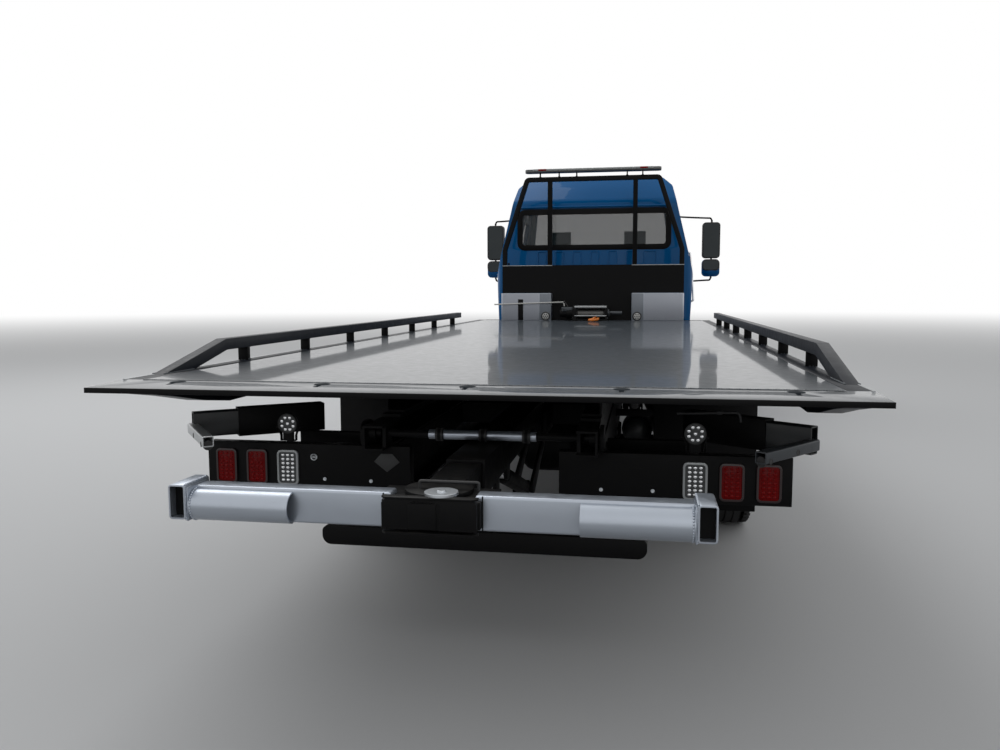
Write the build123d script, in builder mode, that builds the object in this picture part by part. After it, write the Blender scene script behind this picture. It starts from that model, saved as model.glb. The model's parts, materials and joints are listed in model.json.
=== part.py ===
"""Flatbed tow truck: a tilting, sliding deck and a wheel lift on a two-axle truck.

Millimetres. +Y is forward, +X the driver's right, +Z up. The origin is on the ground,
under the middle of the whole truck.
"""
from build123d import *

import math
import os

os.makedirs("parts", exist_ok=True)

# Overall layout, along the truck
overall_length = 10564.0
crossbar_reach = 364.0  # crossbar's rear face, behind the deck's tail edge
tail_y = crossbar_reach - overall_length / 2
bumper_face_y = overall_length / 2
bumper_to_axle = 1016.0
rear_overhang = 2724.0  # deck's tail edge to the rear axle
front_axle_y = bumper_face_y - bumper_to_axle
rear_axle_y = tail_y + rear_overhang
cab_length = 3100.0  # bumper face to the back of the cab
cab_back_y = bumper_face_y - cab_length

# Clearances
running = 0.05  # pin in its bore
seat_gap = 0.3  # between a moving piece and what it rests on
panel_gap = 6.0  # round doors and hood
clear = 5.0  # between pieces that pass each other

# Tyres and wheels
tyre_radius = 465.0
tyre_width = 255.0
rim_radius = 291.7
rim_wall = 12.0
rim_flange = 9.7
bead_inset = 29.5  # from the tyre's side to its bead
front_wheel_x = 970.0
twin_outer_x = 1087.5
twin_spacing = 300.0
hub_radius = 85.0
spindle_radius = 35.0
axle_tube_radius = 60.0

# Truck frame
frame_half_width = 430.0
frame_top = 835.0
frame_height = 240.0
frame_flange = 75.0
frame_wall = 8.0
frame_rear_y = tail_y + 520.0
frame_front_y = bumper_face_y - 260.0
front_member_y = bumper_face_y - 330.0

# Tilt pivot and tilt frame
pivot_y = tail_y + 410.0
pivot_z = 897.0
pivot_pin_radius = 20.0
pivot_shaft_radius = 14.0
hinge_plate = 15.0
tilt_rail_bottom = 842.0
tilt_rail_top = 934.0
tilt_rail_outer = 425.0
tilt_rail_inner = 350.0
tilt_rear_y = tail_y + 330.0
wear_pad = 10.7

# Cylinders: the pin on the truck frame, the rod's eye, as places along and up
tilt_base = (tail_y + 3900.0, 560.0)
tilt_eye = (tail_y + 2950.0, 820.0)
tilt_cylinder_x = 520.0
tilt_pin_radius = 22.0
tilt_barrel_radius = 42.0
tilt_rod_radius = 26.0
lift_base = (tail_y + 1500.0, 450.0)
lift_eye = (tail_y + 750.0, 690.0)
lift_base_pin = 18.0
lift_barrel_radius = 36.0
lift_rod_radius = 20.0
rod_bore_clear = 0.5
bracket_plate = 14.0

# Deck
deck_width = 2591.0
deck_to_cab = 150.0  # from the deck's front edge to the back of the cab
deck_top = 1104.0
deck_plate_thickness = 6.0
tail_length = 210.0
tail_thickness = 17.0
tail_drop = 8.0
side_channel_width = 83.5
side_channel_bottom = 945.0
side_channel_wall = 6.0
sill_bottom = tilt_rail_top + wear_pad + seat_gap
sill_top = 1020.0
sill_rear_y = tail_y + 620.0
sill_wall = 8.0
crossmember_width = 60.0
crossmember_wall = 6.0
crossmember_pitch = 362.0
crossmember_first_y = tail_y + 880.0
deck_half = deck_width / 2
deck_front_y = cab_back_y - deck_to_cab
crossmember_run = deck_front_y - crossmember_width - crossmember_first_y
crossmember_count = 1 + int(crossmember_run // crossmember_pitch)
plate_bottom = deck_top - deck_plate_thickness
channel_inner_x = deck_half - side_channel_width
seam = 3.0
plate_half = channel_inner_x - seam

# Side rails
rail_size = 50.0
rail_top = 1215.0
rail_foot_y = tail_y + 400.0
rail_bend_y = tail_y + 900.0
rail_front_y = deck_front_y - 1200.0
stake_pitch = 725.0
stake_first_y = tail_y + 1130.0
stake_width = 60.0
stake_count = 1 + int((rail_front_y - stake_width - stake_first_y) // stake_pitch)
stake_thickness = 12.0

# Headboard
headboard_y = deck_front_y - 70.0
headboard_tube = 50.0
headboard_half = 1010.0
headboard_kink_z = 1895.0
headboard_top_half = 747.0
headboard_top = 2695.0
headboard_post_x = 472.0
headboard_post_width = 50.0
panel_low = 1408.0
panel_high = 1720.0
panel_thickness = 6.0
box_inner_x = 444.0
box_depth = 90.0
light_bar_half = 750.0
light_bar_depth = 120.0
light_bar_bottom = 2742.0
light_bar_height = 38.0

# Winch
winch_y = deck_front_y - 260.0
winch_z = deck_top + 78.0
winch_half = 187.0
drum_radius = 48.0
drum_flange_radius = 72.0
drum_half = 95.0
winch_shaft_radius = 12.0

# Lamp panels, L-arms
panel_rear_y = tail_y + 440.0
panel_depth = 55.0
lamp_panel_bottom = 667.0
lamp_panel_top = 840.0
lamp_panel_half = 1095.0
lamp_panel_inner_x = 280.0
lamp_width = 86.0
lamp_height = 136.0
lamp_z = 748.0
lamp_proud = 8.0
red_lamp_x = (1016.0, 890.0)
clear_lamp_x = 764.0
work_lamp_x = 762.0
work_lamp_z = 918.0
work_lamp_radius = 38.0
arm_height = 100.0
arm_width = 50.0
arm_bottom = 852.0
arm_corner = (1165.0, tail_y + 455.0)
arm_end = (760.0, tail_y + 763.0)
arm_leg_end = (950.0, tail_y + 182.0)
leg_height = 50.0
leg_bottom = 865.0
holder_wall = 6.0

# Wheel lift
lift_pivot_y = tail_y + 1750.0
lift_member_y = tail_y + 2060.0  # crossmember that carries the lift's brackets
member_half = 45.0
lift_pivot_z = 720.0
lift_pin_radius = 25.0
boom_width = 130.0
boom_bottom = 740.0
boom_top = 862.0
boom_rear_y = tail_y + 130.0
boom_front_y = tail_y + 1830.0
boom_wall = 10.0
slide_clear = 1.0
head_radius = 136.0
head_plate_radius = 100.0
head_y = tail_y - crossbar_reach + head_radius
head_pin_radius = 30.0
head_plate = 14.0
head_low = 748.0
head_high = 854.0
bar_height = 100.0
bar_depth = 120.0
bar_bottom = 753.0
receiver_inner_x = 723.0
receiver_outer_x = 775.0
receiver_low = 762.5
receiver_high = 864.0
receiver_wall = 5.0
cover_inner_x = 415.0
underride_half = 600.0
underride_low = 478.0
underride_high = 548.0
underride_y = tail_y + 400.0

# Cab
cab_front_y = bumper_face_y - 1105.0
cab_floor = 900.0
cab_roof = 2770.0
cab_half_sill = 1085.0
cab_half_belt = 1122.0
cab_belt_z = 1620.0
cab_half_window = 955.0
cab_window_z = 2300.0
cab_half_roof = 880.0
cab_roof_edge = 2620.0
cab_wall = 50.0
glass_inset = 12.0
glass_thickness = 6.0
door_front_y = cab_front_y - 250.0
door_rear_y = door_front_y - 905.0
door_bottom = 1010.0
door_top = 2390.0
door_hinge_x = 1137.0
overrun = 15.0  # how far a crossing outline runs past the face that another one sets
door_hinge_y = door_front_y + 4.0
door_hinge_z = (1150.0, 1540.0)
arch_radius = 585.0
mirror_x = (1330.0, 1560.0)
mirror_y = (bumper_face_y - 1330.0, bumper_face_y - 1220.0)
mirror_z = (1860.0, 2330.0)

# Hood
hood_rear_y = cab_front_y + panel_gap
hood_front_y = bumper_face_y - 70.0
hood_bottom = 762.0
hood_wall = 25.0
hood_hinge_y = bumper_face_y - 125.0
hood_hinge_z = 730.0
hood_hinge_radius = 14.0
bumper_bottom = 430.0
bumper_top = 690.0
bumper_half = 1150.0


def across(y):
    """A plane square to the truck's length: local x to the right, local y up."""
    return Plane.XZ.offset(-y)


def block(x_span, y_span, z_span, mode=Mode.ADD):
    """A block between two places along each axis, in the part being built."""
    spans = (x_span, y_span, z_span)
    with Locations(tuple((low + high) / 2 for low, high in spans)):
        Box(*(high - low for low, high in spans), mode=mode)


def rounded(*corners):
    """Fills an outline in the sketch being made. Each corner: two places and a radius."""
    points = [corner[:2] for corner in corners]
    radii = [corner[2] for corner in corners]
    with BuildLine() as line:
        FilletPolyline(points, radius=radii, close=True)
    make_face(line.edges())


def both_sides(*corners):
    """The corners of a right-hand outline, and the same mirrored to the left."""
    return corners + tuple((-x, z, radius) for x, z, radius in reversed(corners))


def channel(outer, inner, low, high, wall):
    """A C-shaped section open towards the truck's middle, in the sketch being made."""
    with BuildLine() as line:
        Polyline(
            (inner, low), (outer, low), (outer, high), (inner, high), (inner, high - wall),
            (outer - wall, high - wall), (outer - wall, low + wall), (inner, low + wall), close=True,
        )
    make_face(line.edges())


def wheel_plane(y):
    """The plane through a wheel's axle, square to the truck's length."""
    return Plane(origin=(0, y, tyre_radius), x_dir=(1, 0, 0), z_dir=(0, -1, 0))


def axle_line(y):
    return Axis((0, y, tyre_radius), (1, 0, 0))


# Truck frame: two channels, their crossmembers and the plates of the tilt hinge.
# Crossmember columns: place along the truck, bottom, top
frame_crossmembers = (
    (lift_member_y, 690.0, 800.0),
    (tail_y + 3900.0, 690.0, 800.0),
    (tail_y + 5600.0, 690.0, 800.0),
    (tail_y + 7300.0, 690.0, 800.0),
    (front_member_y, 620.0, 760.0),
)
with BuildPart() as chassis_frame:
    with BuildSketch(across(frame_front_y)):
        channel(
            frame_half_width, frame_half_width - frame_flange,
            frame_top - frame_height, frame_top, frame_wall,
        )
    extrude(amount=frame_front_y - frame_rear_y)
    with BuildSketch(Plane.YZ.offset(frame_half_width)):
        plate_low = frame_top - frame_height + 30
        rounded(
            (pivot_y - 48, pivot_z + 45, 40), (pivot_y + 48, pivot_z + 45, 40), (pivot_y + 130, frame_top, 20),
            (frame_rear_y + 420, frame_top - 40, 10), (frame_rear_y + 300, plate_low, 10),
            (frame_rear_y - 20, plate_low, 0), (frame_rear_y - 20, lamp_panel_top + clear, 0),
            (pivot_y - 48, lamp_panel_top + 12, 30),
        )
    extrude(amount=hinge_plate)
    with Locations(Location((frame_half_width + hinge_plate, pivot_y, pivot_z), (0, -90, 0))):
        Cylinder(
            pivot_pin_radius, hinge_plate + frame_flange - 20,
            align=(Align.CENTER, Align.CENTER, Align.MIN),
        )
    mirror(about=Plane.YZ)
    web_x = frame_half_width - frame_wall
    for y, low, high in frame_crossmembers:
        block((-web_x, web_x), (y - member_half, y + member_half), (low, high))
        block((-web_x, web_x), (y - 37, y + 53), (low + 8, high - 8), mode=Mode.SUBTRACT)
    # brackets of the lift boom's pin, under the second crossmember
    for side in (-1, 1):
        x = side * (boom_width / 2 + clear + 10)
        block((x - 10, x + 10), (lift_pivot_y - 50, lift_member_y - member_half), (680, 800))
    block((-90, 90), (lift_member_y - member_half - 25, lift_member_y - member_half), (690, 800))
    with Locations(Location((0, lift_pivot_y, lift_pivot_z), (0, 90, 0))):
        Cylinder(lift_pin_radius, boom_width + 2 * clear + 40)

# Front axle: a dropped beam with a bored boss at each end for the kingpin
kingpin_x = 800.0
kingpin_radius = 20.0
boss_radius = 45.0
boss_half = 55.0
with BuildPart() as front_axle:
    with BuildSketch(across(front_axle_y + 45)):
        rounded(*both_sides((560, 372, 60), (760, 420, 0), (760, 505, 0), (560, 462, 60)))
    extrude(amount=90)
    with Locations(*((side * kingpin_x, front_axle_y, tyre_radius) for side in (-1, 1))):
        Cylinder(boss_radius, 2 * boss_half)
        Cylinder(kingpin_radius + running, 2 * boss_half, mode=Mode.SUBTRACT)

# Rear axle: housing tube with the differential's bowl
with BuildPart() as rear_axle:
    with Locations(Location((0, rear_axle_y, tyre_radius), (0, 90, 0))):
        Cylinder(axle_tube_radius, 2 * 1030)
    with BuildSketch(wheel_plane(rear_axle_y)):
        rounded((-230, 0, 0), (230, 0, 0), (230, 75, 0), (130, 185, 60), (-130, 185, 60), (-230, 75, 0))
    revolve(axis=axle_line(rear_axle_y))
    with Locations(Location((0, rear_axle_y + 170, tyre_radius), (-90, 0, 0))):
        Cone(120, 60, 240)

# Leaf springs, a bowed pack under each rail. Columns: axle, half length, low point, eye height
spring_packs = (
    (front_axle_y, 560.0, 462.0 + seat_gap, 545.0),
    (rear_axle_y, 640.0, tyre_radius + axle_tube_radius + seat_gap, 560.0),
)
spring_width = 70.0
spring_x = frame_half_width - 2 - spring_width
with BuildPart() as leaf_springs:
    for y, half, low, eye in spring_packs:
        with BuildSketch(Plane.YZ.offset(spring_x)):
            with BuildLine():
                lower = ThreePointArc((y - half, eye), (y, low), (y + half, eye))
                upper = ThreePointArc((y - half, eye + 16), (y, low + 44), (y + half, eye + 16))
                Line(lower @ 0, upper @ 0)
                Line(lower @ 1, upper @ 1)
            make_face()
        extrude(amount=spring_width)
        for end in (y - half, y + half):
            block(
                (spring_x, spring_x + spring_width), (end - 25, end + 25), (eye - 12, frame_top - frame_height),
            )
    mirror(about=Plane.YZ)

# Engine as one plain block, with its gearbox and the shaft to the rear axle
engine_y = (cab_front_y + 20.0, cab_front_y + 690.0)
shaft_front = (engine_y[0] - 820.0, 640.0)
shaft_rear = (rear_axle_y + 293.0, tyre_radius)
shaft_plane = Plane(
    origin=(0, *shaft_front), z_dir=(0, shaft_rear[0] - shaft_front[0], shaft_rear[1] - shaft_front[1]),
)
with BuildPart() as drivetrain:
    block((-290, 290), engine_y, (590, 1180))
    mount_x = frame_half_width - frame_wall - seat_gap
    block((-mount_x, mount_x), (engine_y[0] + 250, engine_y[0] + 340), (650, 710))
    with BuildSketch(across(engine_y[0])):
        with Locations((0, 680)):
            Circle(170)
    with BuildSketch(across(shaft_front[0])):
        with Locations((0, 650)):
            Circle(80)
    loft()
    with BuildSketch(shaft_plane):
        Circle(45)
    extrude(amount=math.dist(shaft_front, shaft_rear))

# Bumper: a channel swept back at both ends, with a tow eye under each side
tow_eye_x = 380.0
tow_eye_radius = 22.0
tow_eye_y = bumper_face_y - 60.0
tow_eye_z = 400.0
tow_eye_thickness = 20.0
with BuildPart() as front_bumper:
    with BuildSketch(Plane.XY.offset(bumper_bottom)):
        rounded(*both_sides(
            (bumper_half, bumper_face_y - 330, 20), (bumper_half, bumper_face_y - 180, 120),
            (780, bumper_face_y, 250),
        ))
    extrude(amount=bumper_top - bumper_bottom)
    with BuildSketch(Plane.XY.offset(bumper_bottom + 40)):
        rounded(*both_sides(
            (bumper_half - 30, bumper_face_y - 400, 0), (bumper_half - 30, bumper_face_y - 200, 100),
            (770, bumper_face_y - 30, 230),
        ))
    extrude(amount=bumper_top - bumper_bottom - 80, mode=Mode.SUBTRACT)
    block(
        (-730, 730), (bumper_face_y - 400, bumper_face_y - 130), (bumper_bottom, bumper_top), mode=Mode.SUBTRACT,
    )
    for side in (-1, 1):
        x = side * 400.0
        block((x - 30, x + 30), (frame_front_y, bumper_face_y - 30), (600, 680))
        with BuildSketch(Plane.YZ.offset(side * tow_eye_x - tow_eye_thickness / 2)):
            rounded(
                (tow_eye_y - 50, bumper_bottom + 10, 0), (tow_eye_y - 50, tow_eye_z - 45, 40),
                (tow_eye_y + 50, tow_eye_z - 45, 40), (tow_eye_y + 50, bumper_bottom + 10, 0),
            )
            with Locations((tow_eye_y, tow_eye_z)):
                Circle(tow_eye_radius, mode=Mode.SUBTRACT)
        extrude(amount=tow_eye_thickness)

# Fuel tanks under the doors, each with two step plates, and tool boxes behind them
tank_y = (cab_back_y + 330.0, cab_back_y + 1440.0)
tank_z = 640.0
tank_radius = 250.0
tank_x = 800.0
with BuildPart() as fuel_tanks:
    with BuildSketch(across(tank_y[1])):
        with Locations((tank_x, tank_z)):
            Circle(tank_radius)
    extrude(amount=tank_y[1] - tank_y[0])
    for z, outer in ((560.0, 1085.0), (870.0, 1070.0)):
        block((tank_x, outer), (tank_y[0] + 60, tank_y[1] - 60), (z - 15, z + 15))
    for y in (tank_y[0] + 250, tank_y[1] - 250):
        block((frame_half_width, tank_x - 100), (y - 30, y + 30), (620, 760))
    mirror(about=Plane.YZ)

toolbox_y = (rear_axle_y + 760.0, rear_axle_y + 2500.0)
with BuildPart() as toolboxes:
    block((720, 1195), toolbox_y, (440, 915))
    with Locations((1195, sum(toolbox_y) / 2, 678)):
        Box(12, toolbox_y[1] - toolbox_y[0] - 60, 400)
    for y in (tilt_base[0] + 260, toolbox_y[1] - 200):
        block((frame_half_width, 720), (y - 30, y + 30), (640, 720))
    mirror(about=Plane.YZ)


def cab_form(inset):
    """The cab's outer form, with every face moved inwards by the inset."""
    with BuildPart() as form:
        with BuildSketch(Plane.YZ):
            rounded(
                (cab_back_y, cab_floor, 40), (cab_front_y, cab_floor, 0), (cab_front_y, 1650, 40),
                (cab_front_y - 60, 1735, 60), (cab_front_y - 640, 2560, 120),
                (cab_front_y - 1050, cab_roof + overrun, 500), (cab_back_y + 300, cab_roof + overrun, 300),
                (cab_back_y, 2440, 150),
            )
            offset(amount=-inset)
        extrude(amount=2 * cab_half_belt, both=True)
        with BuildSketch(across(bumper_face_y + 50)):
            rounded(*both_sides(
                (cab_half_sill, cab_floor - overrun, 0), (cab_half_belt, cab_belt_z, 160),
                (cab_half_window, cab_window_z, 200), (cab_half_roof, cab_roof_edge, 60),
                (cab_half_roof - 110, cab_roof - 45, 60), (300, cab_roof, 900),
            ))
            offset(amount=-inset)
        extrude(amount=overall_length, mode=Mode.INTERSECT)
        with BuildSketch(Plane.XY):
            rounded(*both_sides(
                (cab_half_belt + 2, cab_back_y - overrun, 130), (cab_half_belt + 2, door_front_y + 20, 300),
                (cab_half_belt - 60, cab_front_y + overrun, 60),
            ))
            offset(amount=-inset)
        extrude(amount=2 * cab_roof, mode=Mode.INTERSECT)
    return form.part


def cab_prism(plane, depth, *corners):
    """A prism through the cab, whose outline has rounded corners."""
    with BuildPart() as prism:
        with BuildSketch(plane):
            rounded(*corners)
        extrude(amount=depth)
    return prism.part


def grown(corners, by):
    """The corners of an outline in order round it, moved outwards from its middle by a margin."""
    middle_u = sum(corner[0] for corner in corners) / len(corners)
    middle_v = sum(corner[1] for corner in corners) / len(corners)
    return tuple(
        (u + math.copysign(by, u - middle_u), v + math.copysign(by, v - middle_v), radius + by)
        for u, v, radius in corners
    )


# Window and door outlines. Side columns: along, up, radius. Front and back: across, up, radius
rear_window = both_sides((840.0, 1925.0, 60), (820.0, 2330.0, 70))
windscreen = both_sides((930.0, 1800.0, 70), (800.0, 2500.0, 90))
door_window = (
    (door_rear_y + 90, 1690.0, 50), (door_front_y - 90, 1690.0, 40), (door_front_y - 110, 1780.0, 60),
    (door_front_y - 430, 2290.0, 80), (door_rear_y + 90, 2290.0, 60),
)
quarter_window = (
    (cab_back_y + 210, 1720.0, 50), (door_rear_y - 130, 1720.0, 50), (door_rear_y - 130, 2290.0, 50),
    (cab_back_y + 210, 2290.0, 50),
)
door_outline = (
    (door_rear_y, door_bottom, 40), (door_front_y, door_bottom, 60), (door_front_y, 1760.0, 80),
    (door_front_y - 410, door_top, 120), (door_rear_y, door_top, 70),
)
door_reach = 600.0
side_planes = {"left": Plane.YZ.offset(-1300), "right": Plane.YZ.offset(1300 - door_reach)}
outer_form = cab_form(0)
inner_form = cab_form(cab_wall)
glass_outer = cab_form(glass_inset)
glass_inner = cab_form(glass_inset + glass_thickness)
back_plane = across(cab_back_y + 250)
front_plane = across(cab_front_y + 50)


def window_pane(prism):
    """A sheet of glass that follows the cab's form inside a prism."""
    with BuildPart() as pane:
        add(glass_outer)
        add(glass_inner, mode=Mode.SUBTRACT)
        add(prism, mode=Mode.INTERSECT)
    return pane.part


with BuildPart() as cab_shell:
    add(outer_form)
    add(inner_form, mode=Mode.SUBTRACT)
    add(cab_prism(back_plane, 400, *rear_window), mode=Mode.SUBTRACT)
    add(cab_prism(front_plane, 700, *windscreen), mode=Mode.SUBTRACT)
    for side in side_planes.values():
        add(cab_prism(side, door_reach, *quarter_window), mode=Mode.SUBTRACT)
        add(cab_prism(side, door_reach, *grown(door_outline, panel_gap)), mode=Mode.SUBTRACT)
    for side in (-1, 1):
        with Locations(Location((side * 950, front_axle_y, tyre_radius), (0, 90, 0))):
            Cylinder(arch_radius, 560, mode=Mode.SUBTRACT)
    # fixed knuckle and pin of each door hinge
    for side in (-1, 1):
        for z in door_hinge_z:
            x = side * door_hinge_x
            with Locations((x, door_hinge_y, z)):
                Cylinder(13, 40, align=(Align.CENTER, Align.CENTER, Align.MAX))
                Cylinder(6, 45, align=(Align.CENTER, Align.CENTER, Align.MIN))
            block(sorted((x - side * 50, x)), (door_hinge_y + 3, door_hinge_y + 40), (z - 40, z))
    # the two mounts that carry the cab on the frame rails
    for y in (cab_back_y + 200, cab_front_y - 250):
        for side in (-1, 1):
            block(sorted((side * 370, side * 425)), (y - 60, y + 60), (frame_top, cab_floor + 10))

doors = {}
door_glasses = {}
for name, side in (("left", -1), ("right", 1)):
    with BuildPart() as door:
        add(outer_form)
        add(inner_form, mode=Mode.SUBTRACT)
        add(cab_prism(side_planes[name], door_reach, *door_outline), mode=Mode.INTERSECT)
        add(cab_prism(side_planes[name], door_reach, *door_window), mode=Mode.SUBTRACT)
        for z in door_hinge_z:
            x = side * door_hinge_x
            with Locations((x, door_hinge_y, z + seat_gap)):
                Cylinder(13, 40, align=(Align.CENTER, Align.CENTER, Align.MIN))
            block(sorted((x - side * 45, x)), (door_hinge_y - 40, door_hinge_y - 2), (z + seat_gap, z + 40))
            with Locations((x, door_hinge_y, z - 1)):
                Cylinder(6 + running, 60, align=(Align.CENTER, Align.CENTER, Align.MIN), mode=Mode.SUBTRACT)
    doors[name] = door
    with BuildPart() as door_glass:
        add(window_pane(cab_prism(side_planes[name], door_reach, *door_window)))
    door_glasses[name] = door_glass

with BuildPart() as cab_glass:
    add(window_pane(cab_prism(back_plane, 400, *rear_window)))
    add(window_pane(cab_prism(front_plane, 700, *windscreen)))
    for plane in side_planes.values():
        add(window_pane(cab_prism(plane, door_reach, *quarter_window)))

# Inside the cab
seat_x = 460.0
seat_y = cab_front_y - 915.0
with BuildPart() as seats:
    with BuildSketch(Plane.YZ.offset(seat_x - 250)):
        rounded(
            (seat_y - 130, cab_floor + cab_wall, 0), (seat_y + 380, cab_floor + cab_wall, 0),
            (seat_y + 420, 1280, 60), (seat_y + 400, 1385, 50), (seat_y, 1350, 60), (seat_y - 130, 1980, 50),
            (seat_y - 260, 1980, 50), (seat_y - 150, 1300, 60),
        )
    extrude(amount=500)
    with BuildSketch(Plane.YZ.offset(seat_x - 130)):
        rounded(
            (seat_y - 160, 1975, 0), (seat_y - 230, 1975, 0), (seat_y - 270, 2160, 30),
            (seat_y - 170, 2160, 30),
        )
    extrude(amount=260)
    mirror(about=Plane.YZ)

dash_y = cab_front_y - cab_wall
wheel_centre = (-seat_x, dash_y - 480.0, 1640.0)
with BuildPart() as dashboard:
    with BuildSketch(Plane.YZ.offset(-950)):
        rounded(
            (dash_y, 1150, 0), (dash_y, 1590, 0), (dash_y - 100, 1670, 0), (dash_y - 200, 1680, 40),
            (dash_y - 330, 1600, 60), (dash_y - 360, 1400, 40), (dash_y - 200, 1150, 40),
        )
    extrude(amount=1900)
    steering_plane = Plane(origin=wheel_centre, z_dir=(0, -0.65, 0.76))
    with Locations(steering_plane):
        Torus(210, 15)
        Cylinder(50, 30)
        with PolarLocations(0, 3):
            with Locations((112, 0, 0)):
                Box(200, 30, 14)
        Cylinder(28, 330, align=(Align.CENTER, Align.CENTER, Align.MAX))


def hood_form(inset, open_by):
    """The hood's outer form moved inwards, with its bottom and rear run out."""
    bottom = hood_bottom - open_by
    rear = hood_rear_y - open_by
    with BuildPart() as form:
        with BuildSketch(Plane.YZ):
            rounded(
                (rear, bottom, 0), (hood_front_y, bottom, 0), (hood_front_y + 10, 1000, 0),
                (hood_front_y - 40, 1300, 120), (hood_front_y - 330, 1420, 300), (rear, 1640, 0),
            )
            offset(amount=-inset)
        extrude(amount=2 * cab_half_belt, both=True)
        with BuildSketch(across(bumper_face_y + 50)):
            rounded(*both_sides(
                (1100, bottom - overrun, 0), (1100, 1130, 90), (1000, 1240, 80), (700, 1290, 90),
                (560, 1640, 120), (300, 1700, 200),
            ))
            offset(amount=-inset)
        extrude(amount=overall_length, mode=Mode.INTERSECT)
        with BuildSketch(Plane.XY):
            rounded(*both_sides(
                (1100, rear - overrun, 0), (1100, hood_front_y - 420, 300), (900, hood_front_y - 20, 160),
                (400, hood_front_y + 20, 300),
            ))
            offset(amount=-inset)
        extrude(amount=2 * cab_roof, mode=Mode.INTERSECT)
    return form.part


grille_outline = both_sides((440.0, 880.0, 50), (480.0, 1210.0, 60))
lamp_outline = ((600.0, 930.0, 30), (930.0, 960.0, 30), (930.0, 1130.0, 40), (600.0, 1120.0, 30))
nose_plane = across(bumper_face_y)
nose_reach = 400.0
hood_outer = hood_form(0, 0)
with BuildPart() as hood:
    add(hood_outer)
    add(hood_form(hood_wall, hood_wall + 60), mode=Mode.SUBTRACT)
    add(cab_prism(nose_plane, nose_reach, *grille_outline), mode=Mode.SUBTRACT)
    for side in (-1, 1):
        with Locations(Location((side * 950, front_axle_y, tyre_radius), (0, 90, 0))):
            Cylinder(arch_radius, 640, mode=Mode.SUBTRACT)
        # ear with the hinge's bore, down to the bracket on the frame
        with BuildSketch(Plane.YZ.offset(side * 300 - 10)):
            rounded(
                (hood_hinge_y - 30, hood_hinge_z - 30, 28), (hood_hinge_y + 30, hood_hinge_z - 30, 28),
                (hood_hinge_y + 40, hood_bottom + 60, 0), (hood_hinge_y - 30, hood_bottom + 60, 0),
            )
            with Locations((hood_hinge_y, hood_hinge_z)):
                Circle(hood_hinge_radius + running, mode=Mode.SUBTRACT)
        extrude(amount=20)

# Brackets on the truck frame: the hood's hinges, the tilt cylinders' pins and the lift
# cylinder's hanger
with BuildPart() as frame_brackets:
    for side in (-1, 1):
        for x in (side * 300 - 24, side * 300 + 16):
            with BuildSketch(Plane.YZ.offset(x)):
                rounded(
                    (front_member_y - 37, 640, 0), (front_member_y - 37, 740, 0),
                    (hood_hinge_y - 10, hood_hinge_z + 24, 20), (hood_hinge_y + 24, hood_hinge_z + 24, 20),
                    (hood_hinge_y + 24, hood_hinge_z - 22, 20), (frame_front_y - 20, 640, 10),
                )
            extrude(amount=8)
        with Locations(Location((side * 300, hood_hinge_y, hood_hinge_z), (0, 90, 0))):
            Cylinder(hood_hinge_radius, 48)
        inner_wide = tilt_cylinder_x - tilt_barrel_radius - clear - frame_half_width
        outer_x = tilt_cylinder_x + tilt_barrel_radius + clear
        for x, wide in ((frame_half_width, inner_wide), (outer_x, bracket_plate)):
            with BuildSketch(Plane.YZ.offset(x if side > 0 else -x - wide)):
                rounded(
                    (tilt_base[0] - 50, tilt_base[1] - 45, 40), (tilt_base[0] + 50, tilt_base[1] - 45, 40),
                    (tilt_base[0] + 110, 760, 10), (tilt_base[0] + 50, 800, 10), (tilt_base[0] - 20, 800, 10),
                )
            extrude(amount=wide)
        block(
            sorted((side * frame_half_width, side * (outer_x + bracket_plate))),
            (tilt_base[0] + 45, tilt_base[0] + 75), (680, 760),
        )
        with Locations(Location((side * tilt_cylinder_x, *tilt_base), (0, 90, 0))):
            Cylinder(tilt_pin_radius, 2 * (tilt_barrel_radius + clear) + bracket_plate)
        with BuildSketch(Plane.YZ.offset(side * 43 - 7)):
            rounded(
                (lift_base[0] - 40, lift_base[1] - 35, 30), (lift_base[0] + 40, lift_base[1] - 35, 30),
                (lift_member_y + 30, 640, 20), (lift_member_y + member_half, 690, 0), (lift_member_y - 40, 690, 0),
                (lift_member_y - 130, 640, 20), (lift_base[0] - 40, lift_base[1] + 35, 30),
            )
        extrude(amount=14)
    with Locations(Location((0, *lift_base), (0, 90, 0))):
        Cylinder(lift_base_pin, 96)

grille_bars = 8
with BuildPart() as grille:
    with BuildSketch(across(hood_front_y - 5)):
        rounded(*both_sides((439.0, 881.0, 49), (479.0, 1209.0, 59)))
        rounded_inner = both_sides((405.0, 915.0, 30), (440.0, 1175.0, 40))
    extrude(amount=30)
    add(cab_prism(across(hood_front_y), 60, *rounded_inner), mode=Mode.SUBTRACT)
    bar_pitch = (1175.0 - 915.0) / grille_bars
    for index in range(grille_bars):
        z = 915.0 + bar_pitch * (index + 0.5)
        block((-445, 445), (hood_front_y - 32, hood_front_y - 14), (z - 8, z + 8))

with BuildPart() as headlamps:
    add(hood_form(-8, -8))
    add(hood_outer, mode=Mode.SUBTRACT)
    add(cab_prism(nose_plane, nose_reach, *lamp_outline), mode=Mode.INTERSECT)
    mirror(about=Plane.YZ)

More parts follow.
